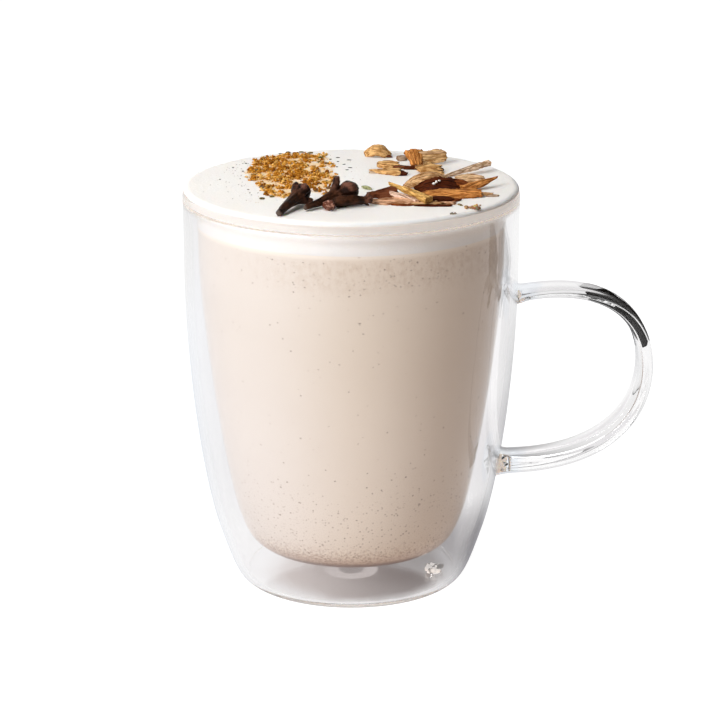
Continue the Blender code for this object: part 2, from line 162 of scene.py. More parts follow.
def store(mesh, key, values):  # one number or three on each point
    single = not hasattr(values[0], "__len__")
    layer = mesh.attributes.new(key, "FLOAT" if single else "FLOAT_VECTOR", "POINT")
    flat = values if single else [part for value in values for part in value]
    layer.data.foreach_set("value" if single else "vector", flat)


def piece(name, points, faces, finish, node=None, slot=None, stored=None, crease=40):
    mesh = meshOf(name, points, faces)
    for key, values in (stored or {}).items():
        store(mesh, key, values)
    dressed(mesh, name, finish, node, crease)


def dressed(mesh, name, finish, node=None, crease=40):
    mesh.update()
    mesh.shade_smooth()
    mesh.set_sharp_from_angle(angle=math.radians(crease))
    mesh.materials.clear()
    mesh.materials.append(finish.material)
    made = shown(name, mesh)
    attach(made, "root")
    if node:
        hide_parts(node)
    return made


def bezier(start, pullOut, pullIn, end, steps):  # a cubic curve without its first point
    points = []
    for step in range(1, steps + 1):
        t = step / steps
        shares = ((1 - t) ** 3, 3 * (1 - t) ** 2 * t, 3 * (1 - t) * t * t, t**3)
        corners = (start, pullOut, pullIn, end)
        points.append(tuple(sum(s * c[k] for s, c in zip(shares, corners)) for k in range(len(start))))
    return points


def arc(centre, radius, first, last, steps):  # angles in degrees
    angles = [math.radians(first + (last - first) * step / steps) for step in range(steps + 1)]
    return [(centre[0] + radius * math.cos(a), centre[1] + radius * math.sin(a)) for a in angles]


def around(count, start=0.0):  # even angles round a circle
    return [math.tau * (step + start) / count for step in range(count)]


def wander(x, y, z):  # smooth noise from -1 to 1
    return noise.noise(Vector((x, y, z)))


def direction(path, index):  # where a path heads at one of its points
    before, after = path[max(index - 1, 0)], path[min(index + 1, len(path) - 1)]
    return Vector([there - here for here, there in zip(before, after)]).normalized()


def offset(outline, distance):  # an outline moved to the right of its direction
    ways = [direction(outline, index) for index in range(len(outline))]
    return [(x + way.y * distance, z - way.x * distance) for (x, z), way in zip(outline, ways)]


def skinned(rings):  # faces between rings of point numbers
    faces = []
    for low, high in zip(rings, rings[1:]):
        for side in range(len(low)):
            after = (side + 1) % len(low)
            faces.append(tuple(dict.fromkeys((low[side], low[after], high[after], high[side]))))
    return faces


def lathe(outline, sides):  # points and faces of an outline turned round Z, both ends on the axis
    points, rings = [], []
    for radius, height in outline:
        count = 1 if radius < 1e-6 else sides
        rings.append([len(points) + side % count for side in range(sides)])
        radius *= count > 1
        points += [(radius * math.cos(turn), radius * math.sin(turn), height) for turn in around(count)]
    return points, skinned(rings)


def loft(rings):  # skins rings of points and closes both ends
    count = len(rings[0])
    points = [tuple(point) for ring in rings for point in ring]
    numbers = [tuple(range(start, start + count)) for start in range(0, len(points), count)]
    return points, [*skinned(numbers), numbers[0][::-1], numbers[-1]]


def renumbered(faces, start):
    return [tuple(start + corner for corner in face) for face in faces]


def gathered(parts):  # several shells as one list of points and one of faces
    points, faces = [], []
    for partPoints, partFaces in parts:
        faces += renumbered(partFaces, len(points))
        points += [tuple(point) for point in partPoints]
    return points, faces


def ball(centre, radii, turn=0.0, rings=14, sides=20):
    points, faces = lathe(arc((0.0, 0.0), 1.0, -90, 90, rings), sides)
    spin = Matrix.Rotation(turn, 3, "Z")
    scaled = [Vector([p * r for p, r in zip(point, radii)]) for point in points]
    return [Vector(centre) + spin @ point for point in scaled], faces


def strand(path, wide, thick, sideways, corners=12):  # a flattened tube along a path
    rings = []
    for index, point in enumerate(path):
        along = direction(path, index)
        across = (sideways - along * sideways.dot(along)).normalized()
        over = along.cross(across)
        half, deep = wide[index], thick[index]
        turned = [across * math.cos(a) * half + over * math.sin(a) * deep for a in around(corners)]
        rings.append([point + out for out in turned])
    return loft(rings)


def loose(name, points, faces):  # a closed helper form with its faces turned outward
    mesh = meshOf(name, points, faces)
    shape = bmesh.new()
    shape.from_mesh(mesh)
    bmesh.ops.recalc_face_normals(shape, faces=shape.faces)
    shape.to_mesh(mesh)
    shape.free()
    return shown(name, mesh)


def carve(target, steps=()):  # applies Booleans and modifiers, and clears the helpers away
    for helper, operation in steps:
        step = target.modifiers.new(helper.name, "BOOLEAN")
        step.operation = operation
        step.object = helper
    graph = bpy.context.evaluated_depsgraph_get()
    mesh = bpy.data.meshes.new_from_object(target.evaluated_get(graph))
    for helper in [target] + [helper for helper, _ in steps]:
        bpy.data.objects.remove(helper, do_unlink=True)
    return mesh


def fused(points, faces, voxel, softening):  # one skin over parts that run into each other
    form = loose("form", points, faces)
    skin = form.modifiers.new("skin", "REMESH")
    skin.mode = "VOXEL"
    skin.voxel_size = voxel * mm
    form.modifiers.new("soften", "SMOOTH").iterations = softening
    return carve(form)


mugForm = {  # mm
    "rimRadius": 44.0,
    "rimHeight": 106.55,
    "bead": 1.8,
    "baseRadius": 28.5,
    "wall": 1.8,
    "floor": 1.6,
    "cupRadius": 40.2,
    "cupFloor": 9.0,
    "flareFrom": 101.0,
    "gapTop": 103.7,
    "sides": 264,
    "vent": (21.9, -7.0, 2.0),
    "roots": ((43.6, 76.8), (40.2, 30.8)),
    "strapWidth": 10.8,
    "strapThickness": (2.75, 5.25),  # at the top and at the bottom
    "strapStart": ((41.6, 76.8), (42.8, 76.84)),  # inside the outer wall, as is its end
    "strapCurves": (  # what pulls each curve out and in, its end and its steps
        ((66.0, 81.7), (78.46, 72.7), (78.46, 57.25), 44),
        ((78.46, 44.1), (68.6, 29.35), (38.3, 30.54), 48),
    ),
    "strapFlare": (0.22, 1.1),  # a share of its size, fading with the distance from the wall
    "strapCorners": (0.5, 0.7),  # how round, across and through
}
walls = {  # the two walls from the top down; the lean is in degrees, at the hip where they turn inward
    "outer": {
        "tops": (98.0, 92.0, 86.0), "pull": 61.1, "hip": (35.5, 13.7), "lean": 18.5, "reach": (15.4, 7.7),
        "foot": ((31.1, 0.0), (mugForm["baseRadius"], 0.0)), "steps": (44, 60),
    },
    "cup": {
        "tops": (99.0, 95.0, 91.0), "pull": 75.0, "hip": (30.4, 19.0), "lean": 17.5, "reach": (13.5, 10.3),
        "foot": ((24.4, mugForm["cupFloor"]), (15.5, mugForm["cupFloor"])), "steps": (40, 30),
    },
}


def wallLine(name, radius):
    form = walls[name]
    hip, angle = Vector(form["hip"]), math.radians(form["lean"])
    lean = Vector((math.sin(angle), math.cos(angle)))
    above, below = form["reach"]
    line = [(radius, z) for z in form["tops"]]
    line += bezier(line[-1], (radius, form["pull"]), hip + lean * above, hip, form["steps"][0])
    return line + bezier(hip, hip - lean * below, *form["foot"], form["steps"][1])


def cupInside(deeper=0.0):  # from the axis up to the flare; deeper moves it into the glass
    wall = mugForm["wall"] - deeper
    low = [(radius, mugForm["cupFloor"] + wall) for radius in (0.0, 5.0, 10.0)]
    side = offset(wallLine("cup", mugForm["cupRadius"]), wall)[::-1]
    return low + side + [(mugForm["cupRadius"] - wall, mugForm["flareFrom"])]


def rimBead(radius, first, last, steps):
    centre = (mugForm["rimRadius"] - mugForm["bead"], mugForm["rimHeight"] - mugForm["bead"])
    return arc(centre, radius, first, last, steps)


def strapForm():
    form = mugForm
    wide, (thin, stout) = form["strapWidth"] / 2, form["strapThickness"]
    (more, fading), (roundAcross, roundThrough) = form["strapFlare"], form["strapCorners"]
    path = list(form["strapStart"])
    for *curve, steps in form["strapCurves"]:
        path += bezier(path[-1], *curve, steps)
    rings = []
    for index, (x, z) in enumerate(path):
        along = direction(path, index)
        wallHere = 44.0 if z > 50 else 39.4
        flare = 1 + more * math.exp(-max(x - wallHere, 0.0) / fading)
        thick = (thin + (stout - thin) * index / (len(path) - 1)) / 2
        ring = []
        for turn in around(48, 0.5):
            across = math.copysign(abs(math.cos(turn)) ** roundAcross, math.cos(turn)) * wide * flare
            through = math.copysign(abs(math.sin(turn)) ** roundThrough, math.sin(turn)) * thick * flare
            ring.append((x - along.y * through, across, z + along.x * through))
        rings.append(ring)
    return loft(rings)


def betweenWalls():  # the sealed space, from the axis over the base and up, then down along the cup
    form = mugForm
    floor, foot = form["floor"], form["baseRadius"]
    seal = [(radius, floor) for radius in (0.0, 4.0, 8.0, 12.0, 18.0, foot - 3.5)]
    outside = wallLine("outer", form["rimRadius"])
    shell = [point for point in offset(outside[:-7], form["wall"])[::-1] if point[1] > floor + 0.5]
    corner = (shell[0][0] - 0.6, shell[0][1] - 0.5)
    shell = bezier(seal[-1], (foot - 0.5, floor), corner, shell[0], 6) + shell[1:]
    high, middle = form["gapTop"], (form["rimRadius"] - form["wall"] + form["cupRadius"]) / 2
    half = form["rimRadius"] - form["wall"] - middle
    top = arc((middle, high - half), half, 0, 180, 14)
    under = [(8.0, form["cupFloor"]), (0.0, form["cupFloor"])]
    return seal + shell + top + wallLine("cup", form["cupRadius"]) + under


def buildMug():
    form = mugForm
    outline = cupInside() + rimBead(form["bead"], 180, 0, 26) + wallLine("outer", form["rimRadius"])
    outline += [(21.0, 0.0), (13.0, 0.0), (6.0, 0.0), (0.0, 0.0)]
    body = loose("mugBody", *lathe(outline, form["sides"]))
    between = loose("wallGap", *lathe(betweenWalls(), form["sides"]))
    x, y, radius = form["vent"]
    hole = loose("ventHole", *lathe([(0.0, -3.0), (radius, -3.0), (radius, 3.2), (0.0, 3.2)], 48))
    hole.location = (x * mm, y * mm, 0.0)
    strap = loose("strapForm", *strapForm())
    mesh = carve(body, [(strap, "UNION"), (between, "DIFFERENCE"), (hole, "DIFFERENCE")])

    glass = Finish("clearGlass", Roughness=0.0, IOR=1.47, Transmission_Weight=1.0)
    here, high = glass.place(), glass.along("Z")
    smear = glass.cloud(here, 55.0, 3.0)
    clear = glass.mix(smear, (0.99, 0.982, 0.986), (1.0, 0.996, 0.998))
    # painted shade: the glass is tinted cooler round the strap's roots to mute the drink's warm colour
    # reflected inside them
    upper, lower = (glass.spread(glass.away(here, (x, 0.0, z)), 8.6, 6.4) for x, z in form["roots"])
    glass.into("Base Color", glass.mix(upper + lower, clear, (0.9, 0.93, 0.97)))  # cooler at the roots
    bead = glass.spread(high, 101.8, 103.0) * glass.spread(high, 106.0, 105.0)
    glass.into("Roughness", glass.spread(smear, 0.5, 0.8, 0.0, 0.02) + bead * 0.2)
    made = dressed(mesh, "glassMug", glass, "glass_mug", 38)
    made.visible_shadow = made.visible_diffuse = False  # light falls on the drink through the walls
    print("glass mug:", len(mesh.vertices), "points")


chaiForm = {  # mm, and colours
    "level": 97.7,
    "intoWall": 0.25,  # the drink and the foam reach this far into the glass
    "upper": ((0.73, 0.66, 0.575), (0.78, 0.71, 0.625)),
    "lower": ((0.79, 0.73, 0.66), (0.84, 0.78, 0.71)),
    "paintedLeftWash": (0.955, 1.0, 1.085),
    "froth": (0.50, 0.38, 0.28),
    "foamy": (0.88, 0.84, 0.78),
    "speck": (0.14, 0.07, 0.04),
    "bedDark": (0.34, 0.20, 0.13),
    "bedPale": (0.92, 0.84, 0.74),
    "rims": ((15.5, 11.3, 0.5, (0.33, 0.18, 0.12)), (12.4, 11.2, 0.85, (0.16, 0.07, 0.045))),
    "specks": (  # cells a metre, radius in cells, share with one: in froth, low down, in the bed, anywhere
        (260.0, 0.06, 0.5, 0.3, 0.2, 0.3),
        (560.0, 0.10, 0.8, 0.35, 0.4, 0.2),
        (1100.0, 0.17, 0.7, 0.45, 0.6, 0.08),
        (1700.0, 0.26, 0.0, 0.3, 1.0, 0.0),
    ),
}


def besideWall():  # radius of the drink and the foam inside the cup's straight part
    return mugForm["cupRadius"] - mugForm["wall"] + chaiForm["intoWall"]


def buildChai():
    form = chaiForm
    level, side = form["level"], besideWall()
    outline = [point for point in cupInside(form["intoWall"])[:-1] if point[1] < level - 0.7]
    outline += [(side, level - 0.4), (side, level), (30.0, level), (0.0, level)]
    points, faces = lathe(outline, 160)
    tea = Finish("milkyTea", Roughness=0.45)
    here, high, aside = tea.place(), tea.along("Z"), tea.along("X")
    slow = tea.cloud(here, 28.0, 3.0)
    body = tea.mix(tea.spread(high, 78.0, 34.0), tea.mix(slow, *form["upper"]), tea.mix(slow, *form["lower"]))
    # painted light: the drink is cooler and paler on its left, where the key light washes it out
    body = tea.mix(tea.spread(aside, 4.0, -26.0), body, tea.times(body, form["paintedLeftWash"]))
    streaks = tea.cloud(tea.stretched(here, (1.0, 1.0, 0.7)), 760.0, 4.0, 0.7)
    froth = tea.spread(high, 86.0, 91.5) * tea.spread(high, 97.3, 95.2)
    # painted light: froth marks and specks fade towards the left, where the key light's highlight hides them
    froth = froth * tea.spread(aside, -36.0, 4.0, 0.1, 1.0)
    body = tea.mix(froth * tea.spread(streaks, 0.42, 0.64, 0.08, 0.42), body, form["froth"])
    body = tea.mix(tea.spread(high, 96.3, 97.5) * 0.85, body, form["foamy"])  # foam running into the drink
    bed, settling = tea.spread(high, 19.0, 12.5), tea.spread(high, 44.0, 16.0)
    where = tea.stretched(here, (0.75, 0.75, 1.0))
    torn = tea.cloud(here, 2200.0, 2.0)
    for scale, width, inFroth, inSettling, inBed, anywhere in form["specks"]:
        marks = tea.cells(where, scale, "Color")
        chance, strength = (tea.add("ShaderNodeSeparateColor", None, [marks], channel) for channel in (0, 1))
        share = froth * inFroth + settling * inSettling + bed * inBed + anywhere
        ragged = tea.cells(where, scale) + (torn - 0.5) * width * 2.4
        dot = (chance < share) * tea.spread(ragged, width * 1.4, width * 0.8)
        body = tea.mix(dot * (strength * strength * 0.6 + 0.15), body, form["speck"])
    grains = tea.cloud(here, 1500.0, 3.0, 0.7)
    body = tea.mix(bed * tea.spread(grains, 0.5, 0.58, 0.0, 0.5), body, form["bedDark"])
    body = tea.mix(bed * tea.spread(grains, 0.46, 0.4, 0.0, 0.55), body, form["bedPale"])
    for start, full, strength, color in form["rims"]:  # what lies at the bottom of the cup
        body = tea.mix(tea.spread(high, start, full) * strength, body, color)
    tea.into("Base Color", body)
    tea.relief(grains, 0.0001, 0.2)
    piece("chaiDrink", points, faces, tea, "chai", "milky_tea")
    print("chai")


foamForm = {  # mm, and colours
    "level": 107.25,
    "crown": 0.5,
    "reach": 42.2,
    "wave": 0.12,
    "swell": 0.3,
    "edge": ((1.4, 1.16), (1.5, 0.92), (1.42, 0.66), (1.16, 0.38), (0.75, 0.14), (0.3, 0.02)),  # out and down
    "drops": (  # flecks of foam on the bark: x, y, height, width, and how tall
        (20.6, -13.2, 2.3, 0.5, 0.32), (21.2, -13.2, 2.75, 0.3, 0.42), (22.0, -12.6, 2.95, 0.42, 0.2),
    ),
    "white": ((0.90, 0.86, 0.82), (0.93, 0.905, 0.87)),
    "paintedRimShade": (0.9, 0.955, 1.015),
    "dusting": ((0.1, 0.45, 0.9, (0.90, 0.63, 0.34)), (0.6, 1.0, 0.85, (0.83, 0.48, 0.17))),
}


def foamTop(x, y):  # height of the foam, all in mm
    form = foamForm
    out = min(math.hypot(x, y) / form["reach"], 1.0)
    wave = noise.noise(Vector((x, y, 0.0)) * 0.085) * form["wave"]
    swell = noise.noise(Vector((x + 40, y, 3.0)) * 0.045) * form["swell"]
    return form["level"] + form["crown"] * (1 - out * out) + (wave + swell) * (1 - out**4)


def onFoam(x, y, height=0.0):
    return Vector((x, y, foamTop(x, y) + height))


def settled(points, sink):  # lowers points until the lowest is this far inside the foam
    clear = min(z - foamTop(x, y) for x, y, z in points)
    return [(x, y, z - clear - sink) for x, y, z in points]


def foamOutline():
    form, start, side = foamForm, chaiForm["level"], besideWall()
    outline = [(0.0, start), (20.0, start), (side, start), (side, 99.5), (side, mugForm["flareFrom"])]
    outline += rimBead(mugForm["bead"] - 0.22, 180, 44, 20)
    outline += [(form["reach"] + out, form["level"] - down) for out, down in form["edge"]]
    radius = form["reach"] - 0.1
    while radius > 0.3:
        outline.append((radius, form["level"]))
        radius -= 0.42
    return outline + [(0.0, form["level"])]


def buildFoam():
    form = foamForm
    points, faces = lathe(foamOutline(), 300)
    top = []
    for x, y, z in points:
        if z > form["level"] - 0.01:
            z = foamTop(x, y) + 0.035 * wander(x * 1.1, y * 1.1, 9.9)
        elif math.hypot(x, y) > form["reach"] + 0.2 and z > form["level"] - 1.2:
            z += 0.14 * wander(x * 0.5, y * 0.5, 1.0)
        top.append((x, y, z))
    milk = Finish(
        "milkFoam", Roughness=0.55, Subsurface_Weight=0.25, Subsurface_Scale=0.002,
        Subsurface_Radius=(1.0, 0.8, 0.6), Emission_Strength=1.0,
    )
    here, high, aside = milk.place(), milk.along("Z"), milk.along("X")
    out = milk.away(milk.stretched(here, (1.0, 1.0, 0.0)))
    white = milk.mix(milk.cloud(here, 60.0, 3.0), *form["white"])
    # painted shade: the foam is dimmed and cooled near the rim and down its side, to tone down the highlight
    # on its crest
    thin = milk.spread(out, 42.6, 43.5) + milk.spread(high, 105.5, 104.0)
    white = milk.mix(thin, white, milk.times(white, form["paintedRimShade"]))
    dusted = milk.stored("dusted") + (milk.cloud(here, 700.0, 3.0) - 0.5) * 0.5
    for start, full, strength, color in form["dusting"]:
        white = milk.mix(milk.spread(dusted, start, full) * strength, white, color)
    milk.into("Base Color", white)
    tucked = milk.spread(out, 38.6, 39.6) * milk.spread(high, 106.5, 106.0)
    paintedRimGlow = tucked * milk.spread(aside, -26.0, -4.0, 0.17, 0.2)  # painted light: a glow on the foam tucked inside the rim bead
    glow = milk.add("ShaderNodeCombineColor", None, [paintedRimGlow * 0.9, paintedRimGlow, paintedRimGlow * 1.06])
    milk.into("Emission Color", glow)
    milk.relief(milk.cells(here, 1500.0) + milk.cloud(here, 500.0, 4.0) * 1.5, 0.00012, 0.35)
    drops = [ball(onFoam(*spot), (wide, 0.4, tall), 0.4, 8, 12) for *spot, wide, tall in form["drops"]]
    top, faces = gathered([(top, faces), *drops])
    powder = [(cover(x, y) + min(max(crowd(x, y), 0.0), 1.0)) / 2 for x, y, _ in top]
    powder = [share * (z > form["level"] - 0.3) for share, (_, _, z) in zip(powder, top)]
    piece("milkFoam", top, faces, milk, "foam_cap", "milk_foam", {"dusted": powder}, 60)
    print("foam:", len(points), "points")


# tip, calyx and bud: x, y and height over the foam, in mm; teeth: angle, spread, reach, bluntness
cloves = {
    "cloveLeft": {
        "node": "clove_1",
        "tip": (-19.6, -36.4, 1.0), "calyx": (-14.6, -26.8, 2.9), "bud": (-13.4, -24.6, 3.6),
        "stem": (0.85, 1.75), "ball": 2.2, "bend": 0.25,
        "teeth": ((112, 40, 3.2, 0.7), (44, 30, 3.4, 0.9), (-34, 44, 3.6, 0.8), (-120, 44, 2.8, 0.5)),
    },
    "cloveMiddle": {
        "node": "clove_2",
        "tip": (-13.1, -32.2, 0.8), "calyx": (-4.6, -24.6, 2.6), "bud": (-1.7, -24.4, 3.2),
        "stem": (0.7, 1.8), "ball": 2.6, "bend": -0.3,
        "teeth": ((96, 74, 3.5, 0.95), (8, 36, 3.2, 0.6), (-75, 35, 3.2, 0.6), (-165, 52, 2.6, 0.4)),
    },
    "cloveRight": {
        "node": "clove_3",
        "tip": (-6.4, -28.8, 1.2), "calyx": (2.4, -26.6, 1.3), "bud": (3.4, -26.4, 1.4),
        "stem": (1.6, 0.9), "ball": 0.95, "bend": 0.1, "rounded": (0.35, 0.75),
        "teeth": ((80, 48, 1.6, 0.6), (-10, 40, 1.7, 0.6), (-100, 44, 1.5, 0.6), (170, 50, 1.5, 0.6)),
    },
}


cloveTones = {
    "stem": ((0.009, 0.003, 0.001), (0.06, 0.022, 0.01)),
    "crest": ((0.014, 0.004, 0.002), (0.17, 0.07, 0.045)),
    "cut": (0.16, 0.12, 0.1),
    "dropped": ((0.04, 0.01, 0.004), (0.17, 0.055, 0.03)),
    "droppedPale": (0.5, 0.27, 0.2),
}


def cloveFinish():
    skin = Finish("driedClove", Roughness=0.6, Specular_IOR_Level=0.16)
    here, crest = skin.place(), skin.stored("crest")
    dry = skin.cloud(here, 420.0, 4.0, 0.6)
    stemColor = skin.mix(skin.spread(dry, 0.35, 0.68), *cloveTones["stem"])
    crestColor = skin.mix(skin.spread(dry, 0.4, 0.66), *cloveTones["crest"])
    color = skin.mix(skin.spread(crest, 0.8, 1.15), stemColor, crestColor)
    skin.into("Base Color", skin.mix(skin.spread(crest, 0.05, 0.0) * 0.6, color, cloveTones["cut"]))
    skin.into("Roughness", skin.spread(dry, 0.3, 0.7, 0.38, 0.7))
    skin.relief(skin.cloud(here, 1300.0, 4.0, 0.65), 0.0002, 0.6)
    return skin


def crosswise(along):  # sideways and upward, square to a direction
    side = along.cross(Vector((0, 0, 1))).normalized()
    return side, side.cross(along)


def stemShape(form, tip, calyx):
    length, (side, over) = (calyx - tip).length, crosswise((calyx - tip).normalized())
    slim, full = form["stem"]
    roundFor, roundBy = form.get("rounded", (0.05, 0.28))
    rings = []
    for station in range(30):
        share = station / 29
        middle = tip.lerp(calyx, share) + over * form["bend"] * math.sin(math.pi * share)
        radius = slim + (full - slim) * share**1.4
        radius *= 1 - roundBy * (1 - min(share / roundFor, 1.0)) ** 2
        ring = []
        for angle in around(28):
            crease = wander(share * 2.2, math.cos(angle) * 2.6, math.sin(angle) * 2.6 + length)
            swell = 1 + 0.09 * math.cos(4 * angle + 0.6) + 0.1 * crease
            ring.append(middle + (side * math.cos(angle) + over * math.sin(angle)) * radius * swell)
        rings.append(ring)
    return loft(rings)


def toothShape(tooth, calyx, along, full):
    angle, spread, reach, blunt = tooth
    side, over = crosswise(along)
    turn, lean = math.radians(angle), math.radians(spread)
    out = side * math.cos(turn) + over * math.sin(turn)
    start = calyx + out * full * 0.45 - along * full * 0.8
    knee = calyx + out * full * 0.95
    end = knee + (out * math.sin(lean) + along * math.cos(lean)) * reach * 0.75
    path = [start.lerp(knee, step / 4) for step in range(4)]
    curve = bezier(knee, knee.lerp(end, 0.45) - out * 0.25, end + along * 0.3, end, 7)
    path += [Vector(point) for point in curve]
    shares = [max(step - 3, 0) / 7.6 for step in range(len(path))]
    slimmed = [(1 - (1 - blunt) * share) * (1 - share**6) for share in shares]
    wide, thick = ([full * amount * part for part in slimmed] for amount in (0.66, 0.42))
    return strand(path, wide, thick, along.cross(out))


def buildCloves():
    skin = cloveFinish()
    for name, form in cloves.items():
        tip, calyx, bud = (onFoam(*form[key]) for key in ("tip", "calyx", "bud"))
        along = (calyx - tip).normalized()
        parts = [stemShape(form, tip, calyx)]
        parts += [toothShape(tooth, calyx, along, form["stem"][1]) for tooth in form["teeth"]]
        parts.append(ball(bud, (form["ball"],) * 3))
        points, faces = gathered(parts)
        mesh = fused(settled(points, 0.15), faces, 0.13, 4)
        wrinkle(mesh, form, tip, calyx, bud)
        dressed(mesh, name, skin, form["node"], 60)
    buildDroppedBud()
    print("cloves")


def wrinkle(mesh, form, tip, calyx, bud):  # dries the skin and notes how near the crest each point is
    length, along = (calyx - tip).length, (calyx - tip).normalized()
    side, over = crosswise(along)
    normals = [vert.normal.copy() for vert in mesh.vertices]
    crest = []
    for vert, normal in zip(mesh.vertices, normals):
        here = vert.co * 1000
        off, fromTip = here - bud, here - tip
        share = fromTip.dot(along) / length
        shift = 0.16 * wander(share * length * 0.3, fromTip.dot(side) * 1.5, fromTip.dot(over) * 1.5)
        shift += 0.07 * noise.noise(here * 2.1)
        if share > 0.9 and off.length < form["ball"] * 1.12:  # seams between the petals of the bud
            petal = abs(math.sin(2 * math.atan2(off.dot(over), off.dot(side))))
            shift -= 0.16 * (1 - petal) ** 3
        vert.co += normal * shift * mm
        crest.append(max(share, 0.1 if "rounded" in form else 0.0))  # a rounded tip shows no cut
    store(mesh, "crest", crest)


def buildDroppedBud():
    centre = onFoam(-6.8, -31.0, 1.1)
    points, faces = ball(centre, (1.7, 1.25, 1.3), math.radians(-35), 22, 30)
    shaped = []
    for point in points:
        off = point - centre
        seam = abs(math.sin(1.5 * math.atan2(off.y, off.x) + 0.4))
        rough = 1 + 0.26 * noise.noise(off * 1.3) + 0.12 * noise.noise(off * 3.1) - 0.2 * (1 - seam) ** 3
        shaped.append(tuple(centre + off * rough))
    bud = Finish("cloveBud", Roughness=0.42, Specular_IOR_Level=0.3)
    here = bud.place()
    pale = bud.spread(bud.cloud(bud.stretched(here, (1.0, 0.4, 1.6)), 1100.0, 3.0), 0.5, 0.62)
    color = bud.mix(bud.cloud(here, 500.0, 3.0), *cloveTones["dropped"])
    bud.into("Base Color", bud.mix(pale * 0.7, color, cloveTones["droppedPale"]))
    bud.relief(bud.cloud(here, 900.0, 3.0), 0.0002, 0.4)
    piece("cloveBud", settled(shaped, 0.2), faces, bud, "clove_bud", "clove_brown", crease=60)


barkTints = {
    "tan": (0.56, 0.34, 0.16),
    "light": (0.66, 0.43, 0.23),
    "olive": (0.66, 0.42, 0.19),
    "golden": (0.66, 0.39, 0.15),
    "orange": (0.60, 0.25, 0.065),
    "yellow": (0.60, 0.36, 0.11),
    "pink": (0.58, 0.33, 0.19),
    "pale": (0.70, 0.48, 0.35),
    "red": (0.16, 0.05, 0.02),
    "rust": (0.19, 0.05, 0.012),
    "dark": (0.075, 0.016, 0.004),
    "grey": (0.42, 0.30, 0.2),
    "straw": (0.86, 0.65, 0.45),
}


